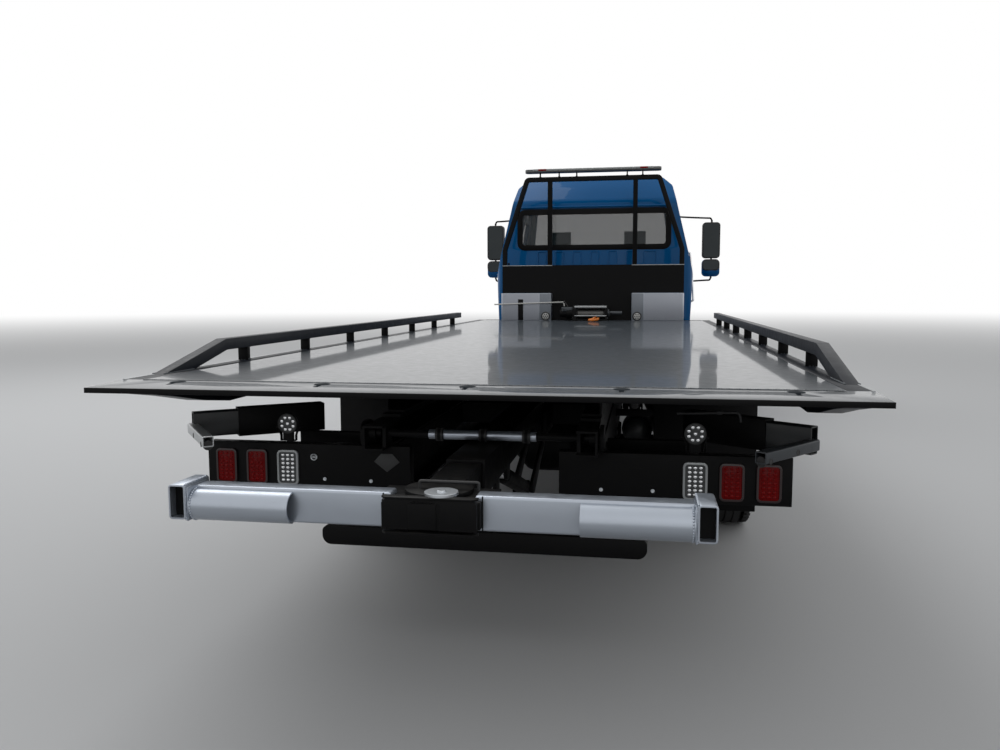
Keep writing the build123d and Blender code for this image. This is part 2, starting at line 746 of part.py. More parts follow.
# Mirrors on two thin arms from each door: a tall head over a small convex one.
# Arm columns: height, and the root's places across and along, on the door
mirror_post_x = 1450.0
mirror_arm_radius = 11.0
mirror_arms = (
    (mirror_z[1] + 45, 900.0, door_front_y - 500),
    (1640.0, 1060.0, door_front_y - 60),
)
mirrors = {}
for name, side in (("left", -1), ("right", 1)):
    with BuildPart() as mirror_set:
        with BuildSketch(across(mirror_y[1])):
            rounded(*(
                (side * x, z, 45) for x, z in (
                    (mirror_x[0], mirror_z[0]), (mirror_x[1], mirror_z[0]),
                    (mirror_x[1], mirror_z[1]), (mirror_x[0], mirror_z[1]),
                )
            ))
        extrude(amount=mirror_y[1] - mirror_y[0])
        with BuildSketch(across(mirror_y[1])):
            rounded(*(
                (side * x, z, 60) for x, z in (
                    (mirror_x[0] + 10, mirror_z[0] - 240), (mirror_x[1] - 10, mirror_z[0] - 240),
                    (mirror_x[1] - 10, mirror_z[0] - 12), (mirror_x[0] + 10, mirror_z[0] - 12),
                )
            ))
        extrude(amount=mirror_y[1] - mirror_y[0])
        post_x = sorted((side * (mirror_post_x - 10), side * (mirror_post_x + 10)))
        post_y = sum(mirror_y) / 2
        post_span = (post_y - 10, post_y + 10)
        block(post_x, post_span, (mirror_arms[1][0], mirror_arms[0][0]))
        for z, root_x, root_y in mirror_arms:
            with BuildLine() as arm:
                Line((side * mirror_post_x, post_y, z), (side * root_x, root_y, z))
            with BuildSketch(Plane(origin=arm.line @ 0, z_dir=arm.line % 0)):
                Circle(mirror_arm_radius)
            sweep(path=arm.line)
        add(outer_form, mode=Mode.SUBTRACT)
    mirrors[name] = mirror_set

# Steering knuckles: kingpin through the beam's boss, two ears, a spindle for the hub
knuckle_face_x = 890.0
knuckles = {}
for name, side in (("left", -1), ("right", 1)):
    with BuildPart() as knuckle:
        with Locations((side * kingpin_x, front_axle_y, tyre_radius)):
            Cylinder(kingpin_radius, 2 * boss_half + 60)
        for low in (tyre_radius - boss_half - 30, tyre_radius + boss_half + seat_gap):
            block(
                sorted((side * (kingpin_x - 40), side * knuckle_face_x)),
                (front_axle_y - 40, front_axle_y + 40), (low, low + 30 - seat_gap),
            )
        plate_x = side * (knuckle_face_x - 30)
        block(
            sorted((plate_x, side * knuckle_face_x)), (front_axle_y - 60, front_axle_y + 60),
            (tyre_radius - boss_half - 30, tyre_radius + boss_half + 30),
        )
        with Locations(Location((plate_x, front_axle_y, tyre_radius), (0, side * 90, 0))):
            Cylinder(spindle_radius, 170, align=(Align.CENTER, Align.CENTER, Align.MIN))
    knuckles[name] = knuckle


def tyre_section(centre):
    """Half of a tyre's section, as along the axle and out from it, in the sketch being made."""
    half = tyre_width / 2
    with BuildLine() as line:
        Polyline(*(
            (centre + along, out) for along, out in (
                (-half + bead_inset, rim_radius + seat_gap), (-half + bead_inset, rim_radius + 20),
                (-half, 368), (-half + 8, tyre_radius - 38), (-half + 34, tyre_radius),
                (half - 34, tyre_radius), (half - 8, tyre_radius - 38), (half, 368),
                (half - bead_inset, rim_radius + 20), (half - bead_inset, rim_radius + seat_gap),
            )
        ), close=True)
    make_face(line.edges())


def rim_section(centre, disc, side):
    """A rim's section: barrel with both flanges, and a dished disc. disc is its offset outwards."""
    half = tyre_width / 2
    barrel = rim_radius - rim_wall
    edge = half - bead_inset
    lip = rim_radius + 18
    sign = math.copysign(1, disc) * side
    face = centre + disc * side
    with BuildLine() as line:
        Polyline(*(
            (centre + along, out) for along, out in (
                (-edge - rim_flange, barrel), (-edge - rim_flange, lip), (-edge - seat_gap, lip),
                (-edge - seat_gap, rim_radius), (edge + seat_gap, rim_radius), (edge + seat_gap, lip),
                (edge + rim_flange, lip), (edge + rim_flange, barrel),
            )
        ), close=True)
    make_face(line.edges())
    with BuildLine() as dish:
        Polyline(
            (face, hub_radius), (face, 165), (face - sign * 55, barrel + 2), (face - sign * 69, barrel + 2),
            (face - sign * 12, 160), (face - sign * 12, hub_radius), close=True,
        )
    make_face(dish.edges())


front_disc = 70.0
twin_disc = twin_spacing / 2
hand_holes = 8
hand_hole_radius = 26.0
hand_hole_ring = 218.0
front_tyres, front_rims, rear_tyres, rear_rims = {}, {}, {}, {}
for name, side in (("left", -1), ("right", 1)):
    with BuildPart() as tyre:
        with BuildSketch(wheel_plane(front_axle_y)):
            tyre_section(side * front_wheel_x)
        revolve(axis=axle_line(front_axle_y))
    front_tyres[name] = tyre
    with BuildPart() as rim:
        with BuildSketch(wheel_plane(front_axle_y)):
            rim_section(side * front_wheel_x, front_disc, side)
            hub = sorted((side * 895, side * 1060))
            with Locations(((hub[0] + hub[1]) / 2, (spindle_radius + running + hub_radius + 5) / 2)):
                Rectangle(hub[1] - hub[0], hub_radius + 5 - spindle_radius - running)
        revolve(axis=axle_line(front_axle_y))
        disc_x = side * (front_wheel_x + front_disc - 20)
        with Locations(Location((disc_x, front_axle_y, tyre_radius), (0, 90, 0))):
            with PolarLocations(hand_hole_ring, hand_holes):
                Cylinder(hand_hole_radius, 80, mode=Mode.SUBTRACT)
    front_rims[name] = rim
    inner_x = twin_outer_x - twin_spacing
    with BuildPart() as tyre:
        with BuildSketch(wheel_plane(rear_axle_y)):
            for centre in (twin_outer_x, inner_x):
                tyre_section(side * centre)
        revolve(axis=axle_line(rear_axle_y))
    rear_tyres[name] = tyre
    with BuildPart() as rim:
        with BuildSketch(wheel_plane(rear_axle_y)):
            rim_section(side * twin_outer_x, -twin_disc, side)
            rim_section(side * inner_x, twin_disc, side)
            hub = sorted((side * 800, side * 1040))
            bore = axle_tube_radius + running
            with Locations(((hub[0] + hub[1]) / 2, (bore + hub_radius + 20) / 2)):
                Rectangle(hub[1] - hub[0], hub_radius + 20 - bore)
            drum = sorted((side * 700, side * 870))
            with Locations(((drum[0] + drum[1]) / 2, 207)):
                Rectangle(drum[1] - drum[0], 14)
            web = sorted((side * 856, side * 870))
            with Locations(((web[0] + web[1]) / 2, 150)):
                Rectangle(web[1] - web[0], 128)
        revolve(axis=axle_line(rear_axle_y))
        with Locations(Location((side * (twin_outer_x - twin_disc), rear_axle_y, tyre_radius), (0, 90, 0))):
            with PolarLocations(hand_hole_ring, hand_holes):
                Cylinder(hand_hole_radius, 130, mode=Mode.SUBTRACT)
    rear_rims[name] = rim

# Tilt frame: two channels with wear pads, cross tubes and the pivot shaft
tilt_cross_ys = (tail_y + 2300.0, tail_y + 3800.0, tail_y + 5300.0, deck_front_y - 200.0)
roller_x = (-155.0, 7.0, 166.0)
roller_radius = 24.0
roller_width = 26.0
with BuildPart() as tilt_frame:
    with BuildSketch(across(deck_front_y - 100)):
        channel(tilt_rail_outer, tilt_rail_inner, tilt_rail_bottom, tilt_rail_top, frame_wall)
    extrude(amount=deck_front_y - 100 - tilt_rear_y)
    block(
        (tilt_rail_inner, tilt_rail_outer), (sill_rear_y - 60, deck_front_y - 100),
        (tilt_rail_top, tilt_rail_top + wear_pad),
    )
    with Locations(Location((tilt_rail_outer - 20, pivot_y, pivot_z), (0, 90, 0))):
        Cylinder(36, 24)
    # bracket for the cylinder's rod, outside each rail
    block(
        (tilt_rail_outer, tilt_cylinder_x + 62), (tilt_eye[0] + 45, tilt_eye[0] + 75),
        (tilt_rail_bottom, tilt_rail_top),
    )
    for x in (tilt_cylinder_x - 52, tilt_cylinder_x + 38):
        with BuildSketch(Plane.YZ.offset(x)):
            rounded(
                (tilt_eye[0] - 40, tilt_eye[1] - 40, 35), (tilt_eye[0] + 75, tilt_eye[1] - 20, 10),
                (tilt_eye[0] + 75, tilt_rail_top, 0), (tilt_eye[0] - 40, tilt_rail_top, 20),
            )
        extrude(amount=14)
    mirror(about=Plane.YZ)
    with Locations(*(
        Location((side * (tilt_rail_outer - 14), pivot_y, pivot_z), (0, 90, 0)) for side in (-1, 1)
    )):
        Cylinder(pivot_pin_radius + running, 60, mode=Mode.SUBTRACT)
    for y in tilt_cross_ys:
        block((-tilt_rail_outer + frame_wall, tilt_rail_outer - frame_wall), (y - 30, y + 30), (865, 925))
    with Locations(Location((0, pivot_y, pivot_z), (0, 90, 0))):
        Cylinder(pivot_shaft_radius, 2 * (tilt_rail_outer - 62))
    for x in roller_x:
        with Locations(Location((x, pivot_y, pivot_z), (0, 90, 0))):
            Cylinder(roller_radius, roller_width)
    for side in (-1, 1):
        block(
            sorted((side * 350, side * 363)), (pivot_y - 40, pivot_y + 40), (tilt_rail_bottom, tilt_rail_top),
        )

# Tilt cylinders: barrels hinged on the truck frame, rods to the tilt frame's brackets
tilt_line = (tilt_eye[0] - tilt_base[0], tilt_eye[1] - tilt_base[1])
tilt_closed = math.hypot(*tilt_line)
with BuildPart() as tilt_barrels:
    barrel_plane = Plane(origin=(tilt_cylinder_x, *tilt_base), z_dir=(0, *tilt_line))
    with BuildSketch(barrel_plane.offset(tilt_pin_radius + 5)):
        Circle(tilt_barrel_radius)
    extrude(amount=tilt_closed - tilt_pin_radius - 135)
    with BuildSketch(barrel_plane.offset(tilt_pin_radius + 60)):
        Circle(tilt_rod_radius + rod_bore_clear)
    extrude(amount=tilt_closed, mode=Mode.SUBTRACT)
    with Locations(Location((tilt_cylinder_x, *tilt_base), (0, 90, 0))):
        Cylinder(tilt_pin_radius + 20, 2 * tilt_barrel_radius)
        Cylinder(tilt_pin_radius + running, 3 * tilt_barrel_radius, mode=Mode.SUBTRACT)
    mirror(about=Plane.YZ)

with BuildPart() as tilt_rods:
    with BuildSketch(barrel_plane.offset(tilt_pin_radius + 70)):
        Circle(tilt_rod_radius)
    extrude(amount=tilt_closed - tilt_pin_radius - 80)
    with Locations(Location((tilt_cylinder_x, *tilt_eye), (0, 90, 0))):
        Cylinder(36, 60)
    mirror(about=Plane.YZ)

# Deck. The tail plate slopes down behind its fold and has five keyhole slots
key_slot_x = (-1050.0, -510.0, 0.0, 510.0, 1050.0)
key_slot_y = tail_y + 150.0
key_slot_radius = 28.0
key_slot_width = 16.0
key_slot_length = 95.0
with BuildPart() as tail_plate:
    with BuildSketch(Plane.YZ.offset(-deck_half)):
        with BuildLine():
            Polyline(
                (tail_y, deck_top - tail_drop), (tail_y + tail_length, deck_top),
                (tail_y + tail_length, deck_top - tail_thickness - 4),
                (tail_y, deck_top - tail_drop - tail_thickness), close=True,
            )
        make_face()
    extrude(amount=deck_width)
    with BuildSketch(Plane.XY.offset(deck_top)):
        with Locations(*((x, key_slot_y + 20) for x in key_slot_x)):
            Circle(key_slot_radius)
        with Locations(*((x, key_slot_y - 15) for x in key_slot_x)):
            Rectangle(key_slot_width, key_slot_length - 30)
    extrude(amount=-4 * tail_thickness, mode=Mode.SUBTRACT)

with BuildPart() as deck_plate:
    block((-plate_half, plate_half), (tail_y + tail_length, deck_front_y), (plate_bottom, deck_top))

with BuildPart() as side_channels:
    with BuildSketch(Plane.YZ.offset(channel_inner_x)):
        with BuildLine():
            Polyline(
                (tail_y + tail_length, deck_top), (tail_y + tail_length, 1052), (tail_y + 400, 1020),
                (tail_y + 640, 973), (tail_y + 850, side_channel_bottom), (deck_front_y, side_channel_bottom),
                (deck_front_y, deck_top), close=True,
            )
        make_face()
    extrude(amount=side_channel_width)
    block(
        (channel_inner_x - 1, deck_half - side_channel_wall),
        (tail_y + 860, deck_front_y - side_channel_wall),
        (side_channel_bottom + side_channel_wall, deck_top - side_channel_wall), mode=Mode.SUBTRACT,
    )
    mirror(about=Plane.YZ)

with BuildPart() as deck_sills:
    with BuildSketch(across(deck_front_y - 60)):
        channel(tilt_rail_outer, tilt_rail_inner, sill_bottom, sill_top, sill_wall)
    extrude(amount=deck_front_y - 60 - sill_rear_y)
    mirror(about=Plane.YZ)

# Crossmembers: open channels on the sills, out to the side channels; ribs under the tail
tail_rib_x = (-900.0, -387.0, 387.0, 900.0)
with BuildPart() as deck_crossmembers:
    for index in range(crossmember_count):
        y = crossmember_first_y + index * crossmember_pitch
        front = y + crossmember_width
        with BuildSketch(Plane.YZ.offset(side_channel_wall - deck_half)):
            with BuildLine():
                Polyline(
                    (y, sill_top), (front, sill_top), (front, sill_top + crossmember_wall),
                    (y + crossmember_wall, sill_top + crossmember_wall),
                    (y + crossmember_wall, plate_bottom - crossmember_wall),
                    (front, plate_bottom - crossmember_wall), (front, plate_bottom), (y, plate_bottom),
                    close=True,
                )
            make_face()
        extrude(amount=2 * (deck_half - side_channel_wall))
    for x in tail_rib_x:
        with BuildSketch(Plane.YZ.offset(x - 6)):
            with BuildLine():
                Polyline(
                    (tail_y + tail_length, deck_top - tail_thickness - 4),
                    (tail_y + tail_length, plate_bottom), (crossmember_first_y, plate_bottom),
                    (crossmember_first_y, sill_top),
                    (crossmember_first_y - 60, sill_top), close=True,
                )
            make_face()
        extrude(amount=12)

# Side rails: a square tube that rises from its foot and runs level; flat stakes carry it
rail_inner_x = deck_half - rail_size
rise = math.atan2(rail_top - deck_top, rail_bend_y - rail_foot_y)
with BuildPart() as side_rails:
    with BuildSketch(Plane.YZ.offset(rail_inner_x)):
        with BuildLine():
            Polyline(
                (rail_foot_y, deck_top), (rail_bend_y, rail_top), (rail_front_y, rail_top),
                (rail_front_y, rail_top - rail_size),
                (rail_bend_y + rail_size * math.tan(rise / 2), rail_top - rail_size),
                (rail_foot_y + rail_size / math.sin(rise), deck_top), close=True,
            )
        make_face()
    extrude(amount=rail_size)
    mirror(about=Plane.YZ)

stake_x = deck_half - rail_size / 2
with BuildPart() as rail_stakes:
    for index in range(stake_count):
        y = stake_first_y + index * stake_pitch
        block(
            (stake_x - stake_thickness / 2, stake_x + stake_thickness / 2),
            (y - stake_width / 2, y + stake_width / 2), (deck_top, rail_top - rail_size),
        )
    mirror(about=Plane.YZ)

# Headboard: bent tube round the outside, two posts, a sheet panel and two boxes
with BuildPart() as headboard_frame:
    with BuildSketch(across(headboard_y + headboard_tube)):
        slope = math.atan2(headboard_half - headboard_top_half, headboard_top - headboard_kink_z)
        inner_kink = headboard_half - headboard_tube
        inner_top = headboard_top - headboard_tube
        inner_top_x = headboard_top_half - headboard_tube / math.cos(slope) + headboard_tube * math.tan(slope)
        rounded(*both_sides(
            (headboard_half, deck_top, 0), (headboard_half, headboard_kink_z, 90),
            (headboard_top_half, headboard_top, 60),
        ))
    extrude(amount=headboard_tube)
    hole = both_sides(
        (inner_kink, deck_top - 10, 0), (inner_kink, headboard_kink_z - 8, 60), (inner_top_x, inner_top, 20),
    )
    add(cab_prism(across(headboard_y + headboard_tube + 10), headboard_tube + 20, *hole), mode=Mode.SUBTRACT)
    for side in (-1, 1):
        x = side * headboard_post_x
        block(
            (x - headboard_post_width / 2, x + headboard_post_width / 2),
            (headboard_y, headboard_y + headboard_tube), (deck_top, inner_top + 1),
        )

with BuildPart() as headboard_panel:
    with BuildSketch(across(headboard_y)):
        rounded(*both_sides(
            (box_inner_x - 2, deck_top, 0), (box_inner_x - 2, panel_low, 0), (headboard_half, panel_low, 0),
            (headboard_half, panel_high, 0),
        ))
    extrude(amount=panel_thickness)

with BuildPart() as headboard_boxes:
    block(
        (box_inner_x, headboard_half), (headboard_y - box_depth, headboard_y), (deck_top, panel_low - 2),
    )
    fillet(headboard_boxes.edges().filter_by(Axis.Z).group_by(Axis.Y)[0], 12)
    mirror(about=Plane.YZ)

light_bar_y = headboard_y + headboard_tube / 2
with BuildPart() as light_bar:
    with BuildSketch(Plane.XY.offset(light_bar_bottom)):
        with Locations((0, light_bar_y)):
            RectangleRounded(2 * light_bar_half, light_bar_depth, 40)
    extrude(amount=light_bar_height)
    fillet(light_bar.faces().sort_by(Axis.Z)[-1].edges(), 12)
    for x in (-560, 0, 560):
        block((x - 40, x + 40), (light_bar_y - 25, light_bar_y + 25), (headboard_top, light_bar_bottom))

# Winch: two end plates with gearbox and motor, and a flanged drum on its shaft
with BuildPart() as winch_base:
    for x, thick in ((-winch_half, 40.0), (winch_half - 22, 22.0)):
        with BuildSketch(Plane.YZ.offset(x)):
            rounded(
                (winch_y - 110, deck_top, 0), (winch_y + 110, deck_top, 0), (winch_y + 95, winch_z + 92, 50),
                (winch_y - 95, winch_z + 92, 50),
            )
        extrude(amount=thick)
    for y in (winch_y - 95, winch_y + 95):
        block((-winch_half, winch_half), (y - 12, y + 12), (deck_top, deck_top + 22))
    with Locations(Location((-winch_half, winch_y, winch_z), (0, -90, 0))):
        Cylinder(58, 70, align=(Align.CENTER, Align.CENTER, Align.MIN))
        Cylinder(42, 145, align=(Align.CENTER, Align.CENTER, Align.MIN))
    with Locations(Location((winch_half - 11, winch_y, winch_z), (0, 90, 0))):
        Cylinder(winch_shaft_radius + 10 + running, 40, mode=Mode.SUBTRACT)

with BuildPart() as winch_drum:
    with Locations(Location((winch_half - 33, winch_y, winch_z), (0, 90, 0))):
        Cylinder(winch_shaft_radius + 10, 60, align=(Align.CENTER, Align.CENTER, Align.MIN))
        Cylinder(winch_shaft_radius, 172, align=(Align.CENTER, Align.CENTER, Align.MIN))
    drum_span = (-winch_half + 40 + seat_gap, winch_half - 22 - clear)
    with Locations(Location((drum_span[0], winch_y, winch_z), (0, 90, 0))):
        Cylinder(drum_radius, drum_span[1] - drum_span[0], align=(Align.CENTER, Align.CENTER, Align.MIN))
        Cylinder(drum_flange_radius, 8, align=(Align.CENTER, Align.CENTER, Align.MIN))
    with Locations(Location((drum_span[1], winch_y, winch_z), (0, -90, 0))):
        Cylinder(drum_flange_radius, 8, align=(Align.CENTER, Align.CENTER, Align.MIN))

with BuildPart() as winch_hook:
    hook_y = winch_y - 210.0
    with BuildSketch(Plane.XY.offset(deck_top)):
        with Locations((60, hook_y)):
            SlotOverall(110, 62, rotation=90)
            SlotOverall(70, 26, rotation=90, mode=Mode.SUBTRACT)
    extrude(amount=24)

# Lamp panels on the frame's rear end
with BuildPart() as lamp_panels:
    block(
        (lamp_panel_inner_x, lamp_panel_half), (panel_rear_y, panel_rear_y + panel_depth),
        (lamp_panel_bottom, lamp_panel_top),
    )
    block(
        (lamp_panel_inner_x + 4, lamp_panel_half - 4), (panel_rear_y + 4, panel_rear_y + panel_depth + 1),
        (lamp_panel_bottom + 4, lamp_panel_top - 4), mode=Mode.SUBTRACT,
    )
    block((frame_half_width - 60, frame_half_width), (panel_rear_y + 4, frame_rear_y), (700, 800))
    block(
        (work_lamp_x - 15, work_lamp_x + 15), (panel_rear_y + 20, panel_rear_y + 26),
        (lamp_panel_top, work_lamp_z + 10),
    )
    mirror(about=Plane.YZ)


def lamp_lens(x):
    """A rounded rectangular lens, proud of the lamp panel, in the part being built."""
    with BuildPart() as lens:
        with BuildSketch(across(panel_rear_y)):
            with Locations((x, lamp_z)):
                RectangleRounded(lamp_width, lamp_height, 18)
        extrude(amount=lamp_proud)
        fillet(lens.faces().sort_by(Axis.Y)[0].edges(), 3)
    return lens.part


with BuildPart() as red_lamps:
    for x in red_lamp_x:
        add(lamp_lens(x))
    mirror(about=Plane.YZ)

with BuildPart() as clear_lamps:
    add(lamp_lens(clear_lamp_x))
    with Locations(Location((work_lamp_x, panel_rear_y + 20, work_lamp_z), (90, 0, 0))):
        Cylinder(work_lamp_radius, 26, align=(Align.CENTER, Align.CENTER, Align.MIN))
    mirror(about=Plane.YZ)

# Stowed L-arms in their holders, one each side
arm_angle = math.degrees(math.atan2(arm_end[1] - arm_corner[1], arm_end[0] - arm_corner[0]))
arm_length = math.dist(arm_corner, arm_end)
leg_length = math.dist(arm_corner, arm_leg_end)
leg_angle = math.degrees(math.atan2(arm_leg_end[1] - arm_corner[1], arm_leg_end[0] - arm_corner[0]))
holder_start = 170.0
with BuildPart() as stowed_arms:
    with Locations(Location((*arm_corner, arm_bottom), (0, 0, arm_angle))):
        Box(arm_length, arm_width, arm_height, align=(Align.MIN, Align.CENTER, Align.MIN))
    with Locations(Location((*arm_corner, leg_bottom), (0, 0, leg_angle))):
        Box(leg_length, arm_width, leg_height, align=(Align.MIN, Align.CENTER, Align.MIN))
    mirror(about=Plane.YZ)

arm_plane = Plane(
    origin=(*arm_corner, 0), x_dir=(math.cos(math.radians(arm_angle)), math.sin(math.radians(arm_angle)), 0),
)
with BuildPart() as arm_holders:
    with BuildSketch(arm_plane.offset(arm_bottom - holder_wall - 0.5)):
        with Locations(((holder_start + arm_length) / 2 + 5, 0)):
            Rectangle(arm_length - holder_start + 10, arm_width + 2 * holder_wall + 1)
    extrude(amount=arm_height + 2 * holder_wall + 1)
    with BuildSketch(arm_plane.offset(arm_bottom - 0.5)):
        with Locations(((holder_start + arm_length) / 2 + 5, 0)):
            Rectangle(arm_length - holder_start + 40, arm_width + 1)
    extrude(amount=arm_height + 1, mode=Mode.SUBTRACT)
    # strut from the lamp panel's top and arm back to the frame
    block(
        (frame_half_width + hinge_plate, 820), (tail_y + 690, tail_y + 730),
        (lamp_panel_top - 60, arm_bottom - holder_wall - 0.5),
    )
    mirror(about=Plane.YZ)

# Wheel lift: a box boom on its pin, the slide inside it, the head and the crossbar
with BuildPart() as lift_boom:
    with BuildSketch(across(boom_front_y)):
        with Locations((0, (boom_bottom + boom_top) / 2)):
            Rectangle(boom_width, boom_top - boom_bottom)
            Rectangle(boom_width - 2 * boom_wall, boom_top - boom_bottom - 2 * boom_wall, mode=Mode.SUBTRACT)
    extrude(amount=boom_front_y - boom_rear_y)
    # hinge lug under the boom's front end
    with BuildSketch(Plane.YZ.offset(-boom_width / 2)):
        rounded(
            (lift_pivot_y - 90, boom_bottom + 2, 0), (lift_pivot_y - 45, lift_pivot_z - 45, 40),
            (lift_pivot_y + 45, lift_pivot_z - 45, 40), (lift_pivot_y + 75, boom_bottom + 2, 0),
        )
    extrude(amount=boom_width)
    with Locations(Location((0, lift_pivot_y, lift_pivot_z), (0, 90, 0))):
        Cylinder(lift_pin_radius + running, boom_width + 2, mode=Mode.SUBTRACT)
    # ears for the lift cylinder's rod
    for x in (-45, 31):
        with BuildSketch(Plane.YZ.offset(x)):
            rounded(
                (lift_eye[0] - 50, boom_bottom + 2, 0), (lift_eye[0] - 30, lift_eye[1] - 30, 28),
                (lift_eye[0] + 30, lift_eye[1] - 30, 28), (lift_eye[0] + 50, boom_bottom + 2, 0),
            )
        extrude(amount=14)
    # underride bar on two drop plates
    with BuildSketch(Plane.XZ.offset(-underride_y - 40)):
        rounded(
            (-underride_half, underride_low, 34), (underride_half, underride_low, 34),
            (underride_half, underride_high, 20), (-underride_half, underride_high, 20),
        )
    extrude(amount=80)
    for x in (-62, 50):
        block((x, x + 12), (underride_y - 35, underride_y + 35), (underride_high - 1, boom_bottom + 1))

slide_front_y = boom_front_y - 40
with BuildPart() as lift_slide:
    with BuildSketch(across(slide_front_y)):
        with Locations((0, (boom_bottom + boom_top) / 2)):
            Rectangle(
                boom_width - 2 * boom_wall - 2 * slide_clear,
                boom_top - boom_bottom - 2 * boom_wall - 2 * seat_gap,
            )
    extrude(amount=slide_front_y - (head_y + head_radius + clear))
    for low in (head_low, head_high - head_plate):
        with BuildSketch(Plane.XY.offset(low)):
            with Locations((0, head_y)):
                Circle(head_plate_radius)
            with Locations((0, (head_y + boom_rear_y - 10) / 2)):
                Rectangle(110, boom_rear_y - 10 - head_y)
        extrude(amount=head_plate)
    with BuildSketch(Plane.XY.offset(head_low)):
        with Locations((0, head_y)):
            Circle(head_pin_radius)
    extrude(amount=head_high - head_low)
    with BuildSketch(Plane.XY.offset(head_high)):
        with Locations((0, head_y)):
            Circle(48)
    extrude(amount=14)

bar_y = (tail_y - crossbar_reach, tail_y - crossbar_reach + bar_depth)
bar_step = 42.0  # from the covers' rear faces to the tubes'
hub_half = 170.0
face_y = bar_y[0] + bar_step
cover_height = 92.0
hub_low = head_low + head_plate + seat_gap
hub_high = head_high - head_plate - seat_gap
with BuildPart() as crossbar:
    # centre block between the head's plates, and the box behind them that joins the tubes
    box_half = head_radius + clear
    box_front_y = head_y - head_plate_radius - clear
    block((-hub_half, hub_half), (head_y - 62, head_y + 62), (hub_low, hub_high))
    block((-box_half, box_half), (box_front_y, head_y - 62), (hub_low, hub_high))
    block((-box_half, box_half), (bar_y[0] + 2, box_front_y), (bar_bottom, bar_bottom + bar_height))
    with Locations((0, head_y, (hub_low + hub_high) / 2)):
        Cylinder(head_pin_radius + running, hub_high - hub_low + 2, mode=Mode.SUBTRACT)
    for side in (-1, 1):
        tube = sorted((side * (head_radius + clear), side * cover_inner_x))
        block(tube, (bar_y[0] + bar_step, bar_y[1]), (bar_bottom, bar_bottom + bar_height))
        cover = sorted((side * cover_inner_x, side * receiver_inner_x))
        with BuildSketch(Plane.YZ.offset(cover[0])):
            with BuildLine():
                ThreePointArc(
                    (face_y, bar_bottom), (bar_y[0], bar_bottom + cover_height / 2),
                    (face_y, bar_bottom + cover_height),
                )
                Polyline(
                    (face_y, bar_bottom + cover_height), (face_y, bar_bottom + bar_height),
                    (bar_y[1], bar_bottom + bar_height), (bar_y[1], bar_bottom), (face_y, bar_bottom),
                )
            make_face()
        extrude(amount=cover[1] - cover[0])
        socket = sorted((side * receiver_inner_x, side * receiver_outer_x))
        block(socket, (bar_y[0], bar_y[1] + 20), (receiver_low, receiver_high))
        block(
            (socket[0] + receiver_wall, socket[1] - receiver_wall), (bar_y[0] - 1, bar_y[1] + 21),
            (receiver_low + receiver_wall, receiver_high - receiver_wall), mode=Mode.SUBTRACT,
        )

# Lift cylinder: barrel on the truck frame, rod to the boom's ears
lift_line = (lift_eye[0] - lift_base[0], lift_eye[1] - lift_base[1])
lift_closed = math.hypot(*lift_line)
lift_plane = Plane(origin=(0, *lift_base), z_dir=(0, *lift_line))
with BuildPart() as lift_barrel:
    with BuildSketch(lift_plane.offset(lift_base_pin + 6)):
        Circle(lift_barrel_radius)
    extrude(amount=lift_closed - 160)
    with BuildSketch(lift_plane.offset(60)):
        Circle(lift_rod_radius + rod_bore_clear)
    extrude(amount=lift_closed, mode=Mode.SUBTRACT)
    with Locations(Location((0, *lift_base), (0, 90, 0))):
        Cylinder(lift_base_pin + 18, 56)
        Cylinder(lift_base_pin + running, 56, mode=Mode.SUBTRACT)

with BuildPart() as lift_rod:
    with BuildSketch(lift_plane.offset(150)):
        Circle(lift_rod_radius)
    extrude(amount=lift_closed - 150 - 10)
    with Locations(Location((0, *lift_eye), (0, 90, 0))):
        Cylinder(27, 56)

pieces = {
    "chassis_frame": chassis_frame,
    "frame_brackets": frame_brackets,
    "front_axle": front_axle,
    "rear_axle": rear_axle,
    "leaf_springs": leaf_springs,
    "drivetrain": drivetrain,
    "front_bumper": front_bumper,
    "fuel_tanks": fuel_tanks,
    "toolboxes": toolboxes,
    "cab_shell": cab_shell,
    "cab_glass": cab_glass,
    "dashboard": dashboard,
    "seats": seats,
    "lamp_panels": lamp_panels,
    "red_lamps": red_lamps,
    "clear_lamps": clear_lamps,
    "stowed_arms": stowed_arms,
    "arm_holders": arm_holders,
    "hood": hood,
    "grille": grille,
    "headlamps": headlamps,
    "tilt_frame": tilt_frame,
    "tilt_barrels": tilt_barrels,
    "tilt_rods": tilt_rods,
    "tail_plate": tail_plate,
    "deck_plate": deck_plate,
    "side_channels": side_channels,
    "deck_sills": deck_sills,
    "deck_crossmembers": deck_crossmembers,
    "side_rails": side_rails,
    "rail_stakes": rail_stakes,
    "headboard_frame": headboard_frame,
    "headboard_panel": headboard_panel,
    "headboard_boxes": headboard_boxes,
    "light_bar": light_bar,
    "winch_base": winch_base,
    "winch_drum": winch_drum,
    "winch_hook": winch_hook,
    "lift_boom": lift_boom,
    "lift_slide": lift_slide,
    "crossbar": crossbar,
    "lift_barrel": lift_barrel,
    "lift_rod": lift_rod,
}
for side in ("left", "right"):
    pieces[f"door_{side}"] = doors[side]
    pieces[f"door_glass_{side}"] = door_glasses[side]
    pieces[f"mirror_{side}"] = mirrors[side]
    pieces[f"knuckle_{side}"] = knuckles[side]
    pieces[f"front_tyre_{side}"] = front_tyres[side]
    pieces[f"front_rim_{side}"] = front_rims[side]
    pieces[f"rear_tyres_{side}"] = rear_tyres[side]
    pieces[f"rear_rims_{side}"] = rear_rims[side]

for name, piece in pieces.items():
    piece.part.label = name
    export_step(piece.part, f"parts/{name}.step")
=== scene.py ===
import json
import math

import bmesh
import bpy
from mathutils import Matrix, Vector
from mathutils.bvhtree import BVHTree

